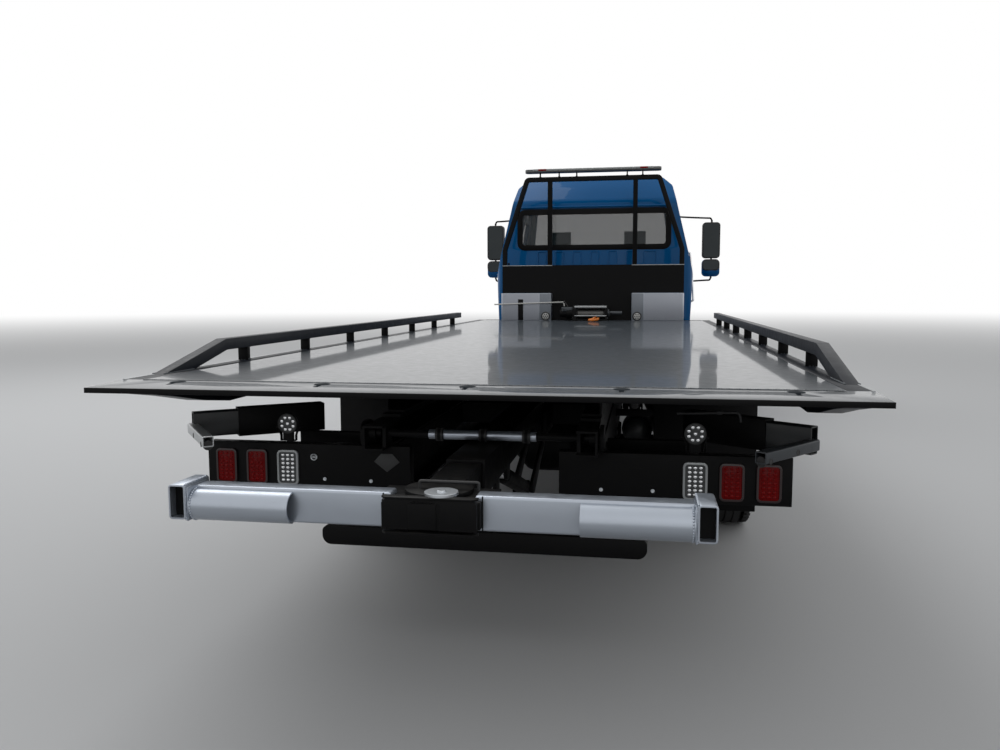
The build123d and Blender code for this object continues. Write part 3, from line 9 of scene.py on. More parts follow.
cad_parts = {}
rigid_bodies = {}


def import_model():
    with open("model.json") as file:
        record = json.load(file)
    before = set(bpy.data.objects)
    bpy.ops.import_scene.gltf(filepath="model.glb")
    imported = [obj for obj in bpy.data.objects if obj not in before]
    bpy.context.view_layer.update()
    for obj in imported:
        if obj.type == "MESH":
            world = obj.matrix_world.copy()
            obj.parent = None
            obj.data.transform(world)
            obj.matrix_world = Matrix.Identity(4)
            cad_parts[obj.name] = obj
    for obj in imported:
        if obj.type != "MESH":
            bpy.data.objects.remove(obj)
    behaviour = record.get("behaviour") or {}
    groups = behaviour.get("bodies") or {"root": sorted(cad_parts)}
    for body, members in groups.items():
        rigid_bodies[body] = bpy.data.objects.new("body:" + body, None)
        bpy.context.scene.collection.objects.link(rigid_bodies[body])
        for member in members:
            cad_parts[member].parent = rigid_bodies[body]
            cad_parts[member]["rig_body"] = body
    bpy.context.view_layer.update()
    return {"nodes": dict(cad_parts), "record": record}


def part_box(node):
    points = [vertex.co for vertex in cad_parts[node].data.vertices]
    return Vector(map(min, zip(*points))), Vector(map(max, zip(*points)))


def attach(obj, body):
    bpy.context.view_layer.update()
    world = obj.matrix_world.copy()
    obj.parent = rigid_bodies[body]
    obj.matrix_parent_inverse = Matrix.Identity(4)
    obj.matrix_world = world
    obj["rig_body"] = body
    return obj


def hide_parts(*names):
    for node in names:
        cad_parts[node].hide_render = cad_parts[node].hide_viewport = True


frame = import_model()
nodes = frame["nodes"]
nodeSlot = {row["node"]: row["material_slot"] for row in frame["record"]["subparts"]}
nodeBody = {name: node["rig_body"] for name, node in nodes.items()}

# places along the truck that many pieces share, in metres
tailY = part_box("tail_plate")[0].y
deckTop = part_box("deck_plate")[1].z
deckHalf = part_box("tail_plate")[1].x
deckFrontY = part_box("deck_plate")[1].y
sides = (-1, 1)
sideName = {-1: "left", 1: "right"}

# View and room
cameraView = {
    "place": (0.5754, -7.4537, 1.4148),
    "turn": (84.3496, 0.1593, 9.7371),
    "lens": 29.994,
}
room = {
    "floorHalf": 400.0,
    "floorColour": (0.6, 0.61, 0.62, 1),
    "floorShade": (0.16, 0.16, 0.16, 1),
    "fadeFrom": 9.0,
    "fadeTo": 60.0,
    "worldLight": 0.5,
    "keyPower": 520.0,
    "keyPlace": (-6.0, 3.0, 11.0),
    "keySize": 9.0,
    "fillPower": 60.0,
    "fillPlace": (5.0, -12.0, 6.0),
    "fillSize": 7.0,
}


def buildCamera():
    data = bpy.data.cameras.new("photoCamera")
    data.lens = cameraView["lens"]
    data.sensor_width = 36.0
    data.sensor_fit = "HORIZONTAL"
    data.clip_end = 1000.0
    camera = bpy.data.objects.new("photoCamera", data)
    camera.location = cameraView["place"]
    camera.rotation_euler = [math.radians(angle) for angle in cameraView["turn"]]
    bpy.context.scene.collection.objects.link(camera)
    bpy.context.scene.camera = camera


def seenDirectly(tree):
    # 0 or 1: what the camera, a reflection or glass shows of this surface
    path = tree.nodes.new("ShaderNodeLightPath")
    total = None
    for ray in ("Is Camera Ray", "Is Glossy Ray", "Is Transmission Ray"):
        if total is None:
            total = path.outputs[ray]
            continue
        join = tree.nodes.new("ShaderNodeMath")
        join.operation = "MAXIMUM"
        tree.links.new(total, join.inputs[0])
        tree.links.new(path.outputs[ray], join.inputs[1])
        total = join.outputs[0]
    return total


def fadeWithDistance(tree, nearest, farthest):
    # 0 near the truck and 1 far from it, so the floor runs into the white background
    place = tree.nodes.new("ShaderNodeTexCoord")
    length = tree.nodes.new("ShaderNodeVectorMath")
    length.operation = "LENGTH"
    tree.links.new(place.outputs["Object"], length.inputs[0])
    fade = tree.nodes.new("ShaderNodeMapRange")
    fade.interpolation_type = "SMOOTHSTEP"
    fade.inputs["From Min"].default_value = nearest
    fade.inputs["From Max"].default_value = farthest
    tree.links.new(length.outputs["Value"], fade.inputs["Value"])
    return fade.outputs["Result"]


def buildRoom():
    mesh = bmesh.new()
    bmesh.ops.create_grid(mesh, x_segments=1, y_segments=1, size=room["floorHalf"])
    data = bpy.data.meshes.new("studioFloor")
    mesh.to_mesh(data)
    mesh.free()
    floor = bpy.data.objects.new("studioFloor", data)
    bpy.context.scene.collection.objects.link(floor)
    paper = bpy.data.materials.new("palePaper")
    paper.use_nodes = True
    tree = paper.node_tree
    shader = tree.nodes["Principled BSDF"]
    seen = seenDirectly(tree)
    tree.links.new(addMix(tree, seen, room["floorShade"], room["floorColour"]), shader.inputs["Base Color"])
    shader.inputs["Roughness"].default_value = 0.85
    glow = tree.nodes.new("ShaderNodeEmission")
    glow.inputs["Color"].default_value = (1, 1, 1, 1)
    both = tree.nodes.new("ShaderNodeMath")
    both.operation = "MULTIPLY"
    tree.links.new(seen, both.inputs[0])
    tree.links.new(fadeWithDistance(tree, room["fadeFrom"], room["fadeTo"]), both.inputs[1])
    mixed = tree.nodes.new("ShaderNodeMixShader")
    tree.links.new(both.outputs[0], mixed.inputs[0])
    tree.links.new(shader.outputs[0], mixed.inputs[1])
    tree.links.new(glow.outputs[0], mixed.inputs[2])
    tree.links.new(mixed.outputs[0], tree.nodes["Material Output"].inputs["Surface"])
    floor.data.materials.append(paper)

    world = bpy.data.worlds.new("studioSky")
    world.use_nodes = True
    tree = world.node_tree
    soft = tree.nodes["Background"]
    soft.inputs["Color"].default_value = (1, 1, 1, 1)
    soft.inputs["Strength"].default_value = room["worldLight"]
    white = tree.nodes.new("ShaderNodeBackground")
    white.inputs["Color"].default_value = (1, 1, 1, 1)
    white.inputs["Strength"].default_value = 1.0
    mixed = tree.nodes.new("ShaderNodeMixShader")
    tree.links.new(seenDirectly(tree), mixed.inputs[0])
    tree.links.new(soft.outputs[0], mixed.inputs[1])
    tree.links.new(white.outputs[0], mixed.inputs[2])
    tree.links.new(mixed.outputs[0], tree.nodes["World Output"].inputs["Surface"])
    bpy.context.scene.world = world

    for name in ("key", "fill"):
        light = bpy.data.lights.new(name + "Light", "AREA")
        light.shape = "DISK"
        light.size = room[name + "Size"]
        light.energy = room[name + "Power"]
        lamp = bpy.data.objects.new(name + "Light", light)
        place = Vector(room[name + "Place"])
        lamp.location = place
        lamp.rotation_euler = (Vector((0, -1.5, 0.8)) - place).to_track_quat("-Z", "Y").to_euler()
        bpy.context.scene.collection.objects.link(lamp)
    bpy.context.scene.view_settings.view_transform = "Standard"


# Shader groups that several finishes share
def newGroup(name, inputs, outputs):
    group = bpy.data.node_groups.new(name, "ShaderNodeTree")
    for label, kind, value in inputs:
        socket = group.interface.new_socket(label, in_out="INPUT", socket_type=kind)
        if value is not None:
            socket.default_value = value
    for label, kind in outputs:
        group.interface.new_socket(label, in_out="OUTPUT", socket_type=kind)
    entry = group.nodes.new("NodeGroupInput")
    leave = group.nodes.new("NodeGroupOutput")
    return group, entry, leave


def addNoise(tree, vector, scale, detail=3.0, roughness=0.55):
    noise = tree.nodes.new("ShaderNodeTexNoise")
    noise.inputs["Detail"].default_value = detail
    noise.inputs["Roughness"].default_value = roughness
    if isinstance(scale, (int, float)):
        noise.inputs["Scale"].default_value = scale
    else:
        tree.links.new(scale, noise.inputs["Scale"])
    tree.links.new(vector, noise.inputs["Vector"])
    return noise.outputs["Fac"]


def addMath(tree, operation, first, second=None, third=None):
    node = tree.nodes.new("ShaderNodeMath")
    node.operation = operation
    for socket, value in zip(node.inputs, (first, second, third)):
        if value is None:
            continue
        if isinstance(value, (int, float)):
            socket.default_value = value
        else:
            tree.links.new(value, socket)
    return node.outputs[0]


def addRange(tree, value, fromLow, fromHigh, toLow=0.0, toHigh=1.0):
    node = tree.nodes.new("ShaderNodeMapRange")
    tree.links.new(value, node.inputs["Value"])
    for label, amount in (
        ("From Min", fromLow), ("From Max", fromHigh), ("To Min", toLow), ("To Max", toHigh),
    ):
        if isinstance(amount, (int, float)):
            node.inputs[label].default_value = amount
        else:
            tree.links.new(amount, node.inputs[label])
    return node.outputs["Result"]


def addMix(tree, factor, first, second):
    node = tree.nodes.new("ShaderNodeMix")
    node.data_type = "RGBA"
    tree.links.new(factor, node.inputs["Factor"])
    for label, value in (("A", first), ("B", second)):
        socket = next(one for one in node.inputs if one.name == label and one.type == "RGBA")
        if isinstance(value, tuple):
            socket.default_value = value
        else:
            tree.links.new(value, socket)
    return next(one for one in node.outputs if one.type == "RGBA")


def buildPaintGroup():
    # paint film: tone that drifts a little, orange peel, and dust on what faces up
    group, entry, leave = newGroup(
        "paintFilm",
        (
            ("Colour", "NodeSocketColor", None), ("Dust Colour", "NodeSocketColor", (0.42, 0.4, 0.36, 1)),
            ("Dust", "NodeSocketFloat", 0.1), ("Tone Drift", "NodeSocketFloat", 0.1),
            ("Peel Scale", "NodeSocketFloat", 300.0), ("Roughness", "NodeSocketFloat", 0.3),
            ("Roughness Spread", "NodeSocketFloat", 0.1),
        ),
        (("Colour", "NodeSocketColor"), ("Roughness", "NodeSocketFloat"), ("Height", "NodeSocketFloat")),
    )
    place = group.nodes.new("ShaderNodeTexCoord").outputs["Object"]
    drift = addNoise(group, place, 2.3, 4.0)
    fine = addNoise(group, place, 26.0, 5.0, 0.6)
    peel = addNoise(group, place, entry.outputs["Peel Scale"], 2.0)
    facing = group.nodes.new("ShaderNodeSeparateXYZ")
    surface = group.nodes.new("ShaderNodeNewGeometry")
    group.links.new(surface.outputs["Normal"], facing.inputs[0])
    upward = addRange(group, facing.outputs["Z"], 0.2, 0.95)
    patchy = addRange(group, fine, 0.35, 0.75)
    dust = addMath(group, "MULTIPLY", addMath(group, "MULTIPLY_ADD", upward, 0.9, 0.1), patchy)
    dust = addMath(group, "MULTIPLY", dust, entry.outputs["Dust"])
    low = addMath(group, "SUBTRACT", 1.0, entry.outputs["Tone Drift"])
    shade = addRange(group, drift, 0.3, 0.7, low, 1.0)
    toned = group.nodes.new("ShaderNodeVectorMath")
    toned.operation = "SCALE"
    group.links.new(entry.outputs["Colour"], toned.inputs[0])
    group.links.new(shade, toned.inputs["Scale"])
    coloured = addMix(group, dust, toned.outputs["Vector"], entry.outputs["Dust Colour"])
    rough = addMath(
        group, "MULTIPLY_ADD", addRange(group, fine, 0.3, 0.7), entry.outputs["Roughness Spread"],
        entry.outputs["Roughness"],
    )
    rough = addMath(group, "ADD", rough, addMath(group, "MULTIPLY", dust, 0.5))
    group.links.new(coloured, leave.inputs["Colour"])
    group.links.new(rough, leave.inputs["Roughness"])
    group.links.new(peel, leave.inputs["Height"])
    return group


def buildScuffGroup():
    # fine scratches and rubbed spots, as a mask
    group, entry, leave = newGroup(
        "scuffMarks",
        (("Scale", "NodeSocketFloat", 9.0), ("Amount", "NodeSocketFloat", 0.3)),
        (("Mask", "NodeSocketFloat"),),
    )
    place = group.nodes.new("ShaderNodeTexCoord").outputs["Object"]
    stretch = group.nodes.new("ShaderNodeMapping")
    stretch.inputs["Scale"].default_value = (1.0, 7.0, 5.0)
    stretch.inputs["Rotation"].default_value = (0.0, 0.35, 0.2)
    group.links.new(place, stretch.inputs["Vector"])
    lines = addRange(group, addNoise(group, stretch.outputs[0], entry.outputs["Scale"], 8.0, 0.7), 0.62, 0.7)
    spots = addRange(group, addNoise(group, place, 6.0, 6.0, 0.65), 0.5, 0.72)
    both = addMath(group, "MULTIPLY", lines, addMath(group, "MULTIPLY_ADD", spots, 0.8, 0.2))
    group.links.new(addMath(group, "MULTIPLY", both, entry.outputs["Amount"]), leave.inputs["Mask"])
    return group


def buildBrushedGroup():
    # fine lines along one axis, as rolled or brushed metal shows
    group, entry, leave = newGroup(
        "brushedLines",
        (
            ("Along", "NodeSocketVector", (1.0, 60.0, 60.0)), ("Roughness", "NodeSocketFloat", 0.3),
            ("Spread", "NodeSocketFloat", 0.15),
        ),
        (("Roughness", "NodeSocketFloat"), ("Height", "NodeSocketFloat")),
    )
    place = group.nodes.new("ShaderNodeTexCoord").outputs["Object"]
    stretch = group.nodes.new("ShaderNodeMapping")
    group.links.new(place, stretch.inputs["Vector"])
    group.links.new(entry.outputs["Along"], stretch.inputs["Scale"])
    lines = addNoise(group, stretch.outputs[0], 12.0, 6.0, 0.6)
    rough = addMath(
        group, "MULTIPLY_ADD", addRange(group, lines, 0.3, 0.7), entry.outputs["Spread"],
        entry.outputs["Roughness"],
    )
    group.links.new(rough, leave.inputs["Roughness"])
    group.links.new(lines, leave.inputs["Height"])
    return group


def buildGrainGroup():
    # moulded leather-like grain of plastic and rubber
    group, entry, leave = newGroup(
        "mouldedGrain",
        (("Scale", "NodeSocketFloat", 400.0),),
        (("Height", "NodeSocketFloat"),),
    )
    place = group.nodes.new("ShaderNodeTexCoord").outputs["Object"]
    cells = group.nodes.new("ShaderNodeTexVoronoi")
    cells.feature = "SMOOTH_F1"
    group.links.new(place, cells.inputs["Vector"])
    group.links.new(entry.outputs["Scale"], cells.inputs["Scale"])
    wander = addNoise(group, place, 60.0, 3.0)
    group.links.new(addMath(
        group, "MULTIPLY_ADD", wander, 0.4, cells.outputs["Distance"],
    ), leave.inputs["Height"])
    return group


def buildWeaveGroup():
    # two crossed waves, as a plain seat cloth
    group, entry, leave = newGroup(
        "plainWeave",
        (("Scale", "NodeSocketFloat", 180.0),),
        (("Height", "NodeSocketFloat"), ("Mask", "NodeSocketFloat")),
    )
    place = group.nodes.new("ShaderNodeTexCoord").outputs["Object"]
    total = None
    for direction in ("X", "Z", "Y"):
        wave = group.nodes.new("ShaderNodeTexWave")
        wave.bands_direction = direction
        wave.inputs["Distortion"].default_value = 0.4
        group.links.new(place, wave.inputs["Vector"])
        group.links.new(entry.outputs["Scale"], wave.inputs["Scale"])
        total = wave.outputs["Fac"] if total is None else addMath(
            group, "MULTIPLY", total, wave.outputs["Fac"],
        )
    group.links.new(total, leave.inputs["Height"])
    group.links.new(addNoise(group, place, 40.0), leave.inputs["Mask"])
    return group


paintFilm = buildPaintGroup()
scuffMarks = buildScuffGroup()
brushedLines = buildBrushedGroup()
mouldedGrain = buildGrainGroup()
plainWeave = buildWeaveGroup()
print("stage: shader groups made")


# Finishes. Each takes the shared groups with its own values
finishes = {
    "frame_paint": {
        "colour": (0.004, 0.004, 0.0045, 1), "roughness": 0.42, "spread": 0.14, "dust": 0.04, "coat": 0.0,
        "shine": 0.1, "peel": 420.0, "bump": 0.05, "drift": 0.2, "scuff": 0.12,
        "scuffColour": (0.05, 0.05, 0.05, 1),
    },
    "deck_paint": {
        "colour": (0.058, 0.070, 0.082, 1), "roughness": 0.3, "spread": 0.08, "dust": 0.03, "coat": 0.5,
        "shine": 0.1, "coatRoughness": 0.045, "peel": 9.0, "bump": 0.012, "drift": 0.06,
    },
    "rail_paint": {
        "colour": (0.008, 0.011, 0.017, 1), "roughness": 0.34, "spread": 0.1, "dust": 0.015, "coat": 0.06,
        "shine": 0.08, "coatRoughness": 0.1, "peel": 200.0, "bump": 0.02, "drift": 0.1,
    },
    "silver_paint": {
        "colour": (0.42, 0.46, 0.52, 1), "roughness": 0.3, "spread": 0.1, "dust": 0.02, "coat": 0.15,
        "peel": 700.0, "bump": 0.05, "drift": 0.08, "metal": 0.8, "scuff": 0.18,
        "scuffColour": (0.16, 0.16, 0.16, 1),
    },
    "cab_paint": {
        "colour": (0.0, 0.108, 0.32, 1), "roughness": 0.3, "spread": 0.05, "dust": 0.0, "coat": 0.2,
        "shine": 0.06, "peel": 120.0, "bump": 0.008, "drift": 0.05,
    },
    "rim_steel": {
        "colour": (0.42, 0.43, 0.44, 1), "roughness": 0.4, "spread": 0.15, "dust": 0.2, "coat": 0.1,
        "peel": 300.0, "bump": 0.05, "drift": 0.15, "metal": 0.3,
    },
    "cast_metal": {
        "colour": (0.05, 0.05, 0.052, 1), "roughness": 0.6, "spread": 0.15, "dust": 0.3, "coat": 0.0,
        "peel": 160.0, "bump": 0.3, "drift": 0.25, "metal": 0.5,
    },
    "gunmetal": {
        "colour": (0.055, 0.062, 0.07, 1), "roughness": 0.36, "spread": 0.12, "dust": 0.04, "coat": 0.1,
        "peel": 500.0, "bump": 0.05, "drift": 0.1, "metal": 0.4, "scuff": 0.2,
        "scuffColour": (0.08, 0.08, 0.08, 1),
    },
    "lampRim": {
        "colour": (0.4, 0.42, 0.43, 1), "roughness": 0.3, "spread": 0.08, "dust": 0.05, "coat": 0.2,
        "peel": 400.0, "bump": 0.02, "drift": 0.06, "metal": 0.3,
    },
    "lampBack": {
        "colour": (0.045, 0.048, 0.05, 1), "roughness": 0.3, "spread": 0.08, "dust": 0.03, "coat": 0.3,
        "peel": 400.0, "bump": 0.02, "drift": 0.1,
    },
    "hookPaint": {
        "colour": (0.75, 0.2, 0.012, 1), "roughness": 0.4, "spread": 0.12, "dust": 0.06, "coat": 0.3,
        "peel": 300.0, "bump": 0.05, "drift": 0.1, "scuff": 0.3, "scuffColour": (0.2, 0.19, 0.18, 1),
    },
    "armBlack": {
        "colour": (0.014, 0.016, 0.018, 1), "roughness": 0.34, "spread": 0.12, "dust": 0.04, "coat": 0.1,
        "peel": 400.0, "bump": 0.05, "drift": 0.1, "metal": 0.2,
    },
    # the boxes' inner folds: a darker silver that paints the shade on the folded sheet
    "foldShadeSilver": {
        "colour": (0.20, 0.22, 0.25, 1), "roughness": 0.4, "spread": 0.06, "dust": 0.02, "coat": 0.1,
        "peel": 60.0, "bump": 0.01, "drift": 0.04, "metal": 0.3,
    },
    "redRim": {
        "colour": (0.022, 0.006, 0.007, 1), "roughness": 0.3, "spread": 0.08, "dust": 0.03, "coat": 0.3,
        "peel": 400.0, "bump": 0.02, "drift": 0.1,
    },
    "boxSilver": {
        "colour": (0.37, 0.39, 0.44, 1), "roughness": 0.4, "spread": 0.06, "dust": 0.02, "coat": 0.1,
        "peel": 60.0, "bump": 0.01, "drift": 0.04, "metal": 0.3,
    },
    "legSilver": {
        "colour": (0.64, 0.66, 0.67, 1), "roughness": 0.36, "spread": 0.1, "dust": 0.04, "coat": 0.1,
        "peel": 500.0, "bump": 0.05, "drift": 0.08, "metal": 0.6, "scuff": 0.25,
        "scuffColour": (0.2, 0.2, 0.2, 1),
    },
    "barePlateGrey": {
        "colour": (0.06, 0.062, 0.063, 1), "roughness": 0.45, "spread": 0.12, "dust": 0.1, "coat": 0.0,
        "peel": 250.0, "bump": 0.3, "drift": 0.25, "metal": 0.3,
    },
    "whitePlastic": {
        "colour": (0.6, 0.6, 0.58, 1), "roughness": 0.35, "spread": 0.08, "dust": 0.05, "coat": 0.3,
        "peel": 300.0, "bump": 0.02, "drift": 0.05,
    },
    "darkWeld": {
        "colour": (0.03, 0.031, 0.033, 1), "roughness": 0.4, "spread": 0.2, "dust": 0.08, "coat": 0.0,
        "peel": 180.0, "bump": 0.4, "drift": 0.3,
    },
}
plastics = {
    "black_plastic": {"colour": (0.012, 0.012, 0.013, 1), "roughness": 0.5, "scale": 700.0, "bump": 0.12},
    "trim_plastic": {"colour": (0.04, 0.04, 0.043, 1), "roughness": 0.55, "scale": 420.0, "bump": 0.2},
}


def startMaterial(name):
    material = bpy.data.materials.new(name)
    material.use_nodes = True
    return material, material.node_tree, material.node_tree.nodes["Principled BSDF"]


def setInputs(tree, node, **values):
    # gives inputs a link or a plain value; a low line stands for a space in an input's name
    for label, value in values.items():
        socket = node.inputs[label.replace("_", " ")]
        if isinstance(value, bpy.types.NodeSocket):
            tree.links.new(value, socket)
        else:
            socket.default_value = value


def placeGroup(tree, group, **values):
    node = tree.nodes.new("ShaderNodeGroup")
    node.node_tree = group
    setInputs(tree, node, **values)
    return node


def bumpFrom(tree, height, strength, shader, distance=0.001):
    bump = tree.nodes.new("ShaderNodeBump")
    setInputs(tree, bump, Strength=strength, Distance=distance, Height=height)
    setInputs(tree, shader, Normal=bump.outputs[0])


def paintMaterial(name, look):
    material, tree, shader = startMaterial(name)
    film = placeGroup(
        tree, paintFilm, Colour=look["colour"], Dust=look["dust"], Tone_Drift=look["drift"],
        Peel_Scale=look["peel"], Roughness=look["roughness"], Roughness_Spread=look["spread"],
    )
    colour = film.outputs["Colour"]
    if "scuff" in look:
        marks = placeGroup(tree, scuffMarks, Amount=look["scuff"])
        colour = addMix(tree, marks.outputs["Mask"], colour, look["scuffColour"])
    setInputs(
        tree, shader, Base_Color=colour, Roughness=film.outputs["Roughness"], Metallic=look.get("metal", 0.0),
        Specular_IOR_Level=look.get("shine", 0.4), Coat_Weight=look["coat"],
        Coat_Roughness=look.get("coatRoughness", 0.03),
    )
    bumpFrom(tree, film.outputs["Height"], look["bump"], shader)
    return material


def plasticMaterial(name, look):
    material, tree, shader = startMaterial(name)
    film = placeGroup(
        tree, paintFilm, Colour=look["colour"], Dust=0.12, Tone_Drift=0.1, Roughness=look["roughness"],
        Roughness_Spread=0.1,
    )
    grain = placeGroup(tree, mouldedGrain, Scale=look["scale"])
    setInputs(tree, shader, Base_Color=film.outputs["Colour"], Roughness=film.outputs["Roughness"])
    bumpFrom(tree, grain.outputs["Height"], look["bump"], shader, 0.0006)
    return material


def metalMaterial(name, colour, roughness, spread, along, bump=0.05):
    material, tree, shader = startMaterial(name)
    lines = placeGroup(tree, brushedLines, Along=along, Roughness=roughness, Spread=spread)
    film = placeGroup(tree, paintFilm, Colour=colour, Dust=0.06, Tone_Drift=0.12, Roughness=roughness)
    setInputs(
        tree, shader, Base_Color=film.outputs["Colour"], Metallic=1.0, Roughness=lines.outputs["Roughness"],
    )
    bumpFrom(tree, lines.outputs["Height"], bump, shader, 0.0005)
    return material


def rubberMaterial(name, colour, dust, roughness=0.72):
    material, tree, shader = startMaterial(name)
    film = placeGroup(
        tree, paintFilm, Colour=colour, Dust=dust, Tone_Drift=0.15, Roughness=roughness,
        Roughness_Spread=0.12,
    )
    grain = placeGroup(tree, mouldedGrain, Scale=520.0)
    setInputs(tree, shader, Base_Color=film.outputs["Colour"], Roughness=film.outputs["Roughness"])
    bumpFrom(tree, grain.outputs["Height"], 0.15, shader, 0.0006)
    return material


def glassMaterial(name, colour, roughness=0.02, alpha=0.3):
    # thin window glass: tinted, mostly see-through, with a plain gloss
    material, tree, shader = startMaterial(name)
    smear = addRange(tree, addNoise(
        tree, tree.nodes.new("ShaderNodeTexCoord").outputs["Object"], 5.0, 5.0,
    ), 0.35, 0.8)
    rough = addMath(tree, "MULTIPLY_ADD", smear, 0.06, roughness)
    setInputs(tree, shader, Roughness=rough, Base_Color=colour, Alpha=alpha, IOR=1.5)
    return material


def lensMaterial(name, colour, cells, coat=0.5, shine=0.5):
    # moulded lamp plastic with small optic cells behind a smooth face
    material, tree, shader = startMaterial(name)
    place = tree.nodes.new("ShaderNodeTexCoord").outputs["Object"]
    optic = tree.nodes.new("ShaderNodeTexVoronoi")
    setInputs(tree, optic, Scale=cells, Randomness=0.15, Vector=place)
    deep = tuple(channel * 0.35 for channel in colour[:3]) + (1,)
    shade = addRange(tree, optic.outputs["Distance"], 0.0, 0.7)
    setInputs(
        tree, shader, Base_Color=addMix(tree, shade, colour, deep), Roughness=0.12, Specular_IOR_Level=shine,
        Coat_Weight=coat, Coat_Roughness=0.02,
    )
    bumpFrom(tree, optic.outputs["Distance"], 0.25, shader, 0.001)
    return material


def clothMaterial(name, colour):
    material, tree, shader = startMaterial(name)
    weave = placeGroup(tree, plainWeave, Scale=160.0)
    dark = tuple(channel * 0.6 for channel in colour[:3]) + (1,)
    shade = addMix(tree, weave.outputs["Mask"], dark, colour)
    setInputs(tree, shader, Base_Color=shade, Roughness=0.9, Sheen_Weight=0.3)
    bumpFrom(tree, weave.outputs["Height"], 0.4, shader, 0.001)
    return material


materials = {name: paintMaterial(name, look) for name, look in finishes.items()}
materials.update({name: plasticMaterial(name, look) for name, look in plastics.items()})
materials.update({
    "tyre": rubberMaterial("tyre", (0.013, 0.013, 0.014, 1), 0.08),
    "glass": glassMaterial("glass", (0.03, 0.045, 0.05, 1), alpha=0.42),
    "mirrorGlass": metalMaterial("mirrorGlass", (0.03, 0.034, 0.036, 1), 0.03, 0.03, (1, 1, 1), 0.0),
    "red_lens": lensMaterial("red_lens", (0.46, 0.0, 0.001, 1), 160.0, 0.03, 0.1),
    "clear_lens": lensMaterial("clear_lens", (0.5, 0.52, 0.54, 1), 160.0),
    "amber_lens": lensMaterial("amber_lens", (0.6, 0.16, 0.008, 1), 200.0),
    "lampChrome": metalMaterial("lampChrome", (0.85, 0.86, 0.88, 1), 0.12, 0.08, (1, 1, 1), 0.02),
    "barLens": lensMaterial("barLens", (0.62, 0.66, 0.66, 1), 60.0, 0.35),
    "light_bar_plastic": lensMaterial("light_bar_plastic", (0.16, 0.18, 0.185, 1), 120.0, 0.3),
    "seat_cloth": clothMaterial("seat_cloth", (0.075, 0.078, 0.085, 1)),
    "tank_metal": metalMaterial("tank_metal", (0.6, 0.61, 0.63, 1), 0.26, 0.16, (40.0, 1.0, 40.0)),
    "rod_chrome": metalMaterial("rod_chrome", (0.78, 0.79, 0.81, 1), 0.08, 0.05, (40.0, 1.0, 40.0), 0.02),
    "zinc": metalMaterial("zinc", (0.58, 0.61, 0.64, 1), 0.3, 0.14, (30.0, 30.0, 4.0)),
    "wireRope": metalMaterial("wireRope", (0.11, 0.11, 0.108, 1), 0.4, 0.2, (30.0, 30.0, 30.0), 0.2),
    "boltSteel": metalMaterial("boltSteel", (0.5, 0.5, 0.51, 1), 0.35, 0.2, (10.0, 10.0, 10.0), 0.1),
})
print("stage:", len(materials), "finishes made")


# Making pieces: every shape is put in place in its own mesh
rightward, leftward = Vector((1, 0, 0)), Vector((-1, 0, 0))
forward, backward = Vector((0, 1, 0)), Vector((0, -1, 0))
upward, downward = Vector((0, 0, 1)), Vector((0, 0, -1))


def newMeshes(count):
    return [bmesh.new() for _ in range(count)]


def placed(origin, *points):
    # the points, moved from zero to the origin
    return [tuple(base + step for base, step in zip(origin, point)) for point in points]


def linesOf(verts):
    # the edges at these corners, each once and in the same order on every run
    return list(dict.fromkeys(line for vert in verts for line in vert.link_edges))


def roundEdges(mesh, edges, width, segments=2):
    bmesh.ops.bevel(
        mesh, geom=edges, offset=width, offset_type="OFFSET", affect="EDGES", segments=segments, profile=0.5,
        material=-1, clamp_overlap=True,
    )


def joinMesh(mesh, part):
    data = bpy.data.meshes.new("joined")
    part.to_mesh(data)
    part.free()
    mesh.from_mesh(data)
    bpy.data.meshes.remove(data)


def addBlock(mesh, corner, opposite, edge=0.0, segments=2):
    # a box between two opposite corners, given in either order
    low, high = (Vector([pick(pair) for pair in zip(corner, opposite)]) for pick in (min, max))
    verts = bmesh.ops.create_cube(mesh, size=1.0)["verts"]
    bmesh.ops.scale(mesh, vec=high - low, verts=verts)
    bmesh.ops.translate(mesh, vec=(low + high) / 2, verts=verts)
    if edge > 0:
        roundEdges(mesh, linesOf(verts), edge, segments)


def addRod(mesh, start, end, radius, sides=24, endRadius=None, edge=0.0):
    # a rod or cone between two points
    start, end = Vector(start), Vector(end)
    axis = end - start
    turn = axis.to_track_quat("Z", "Y").to_matrix().to_4x4()
    made = bmesh.ops.create_cone(
        mesh, cap_ends=True, cap_tris=False, segments=sides, radius1=radius,
        radius2=radius if endRadius is None else endRadius, depth=axis.length,
        matrix=Matrix.Translation((start + end) / 2) @ turn,
    )
    if edge > 0:
        rims = [
            line for line in linesOf(made["verts"]) if any(len(face.verts) > 4 for face in line.link_faces)
        ]
        roundEdges(mesh, rims, edge)


def addSpun(mesh, centre, axis, outline, steps=48, closed=True):
    # a turned ring: outline points are (along the axis, out from it)
    axis = Vector(axis).normalized()
    out = axis.orthogonal().normalized()
    centre = Vector(centre)
    verts = [mesh.verts.new(centre + axis * along + out * radius) for along, radius in outline]
    pairs = list(zip(verts, verts[1:])) + ([(verts[-1], verts[0])] if closed else [])
    edges = [mesh.edges.new(pair) for pair in pairs]
    bmesh.ops.spin(
        mesh, geom=verts + edges, cent=centre, axis=axis, angle=math.tau, steps=steps, use_merge=True,
    )


def addPlate(mesh, corners, thickness, edge=0.0, segments=2):
    # a flat plate from the corners of one face, thickened along that vector
    part = bmesh.new()
    part.faces.new([part.verts.new(corner) for corner in corners])
    made = bmesh.ops.extrude_face_region(part, geom=part.faces[:], use_keep_orig=True)
    moved = [item for item in made["geom"] if isinstance(item, bmesh.types.BMVert)]
    bmesh.ops.translate(part, vec=Vector(thickness), verts=moved)
    bmesh.ops.recalc_face_normals(part, faces=part.faces)
    if edge > 0:
        roundEdges(part, part.edges[:], edge, segments)
    joinMesh(mesh, part)


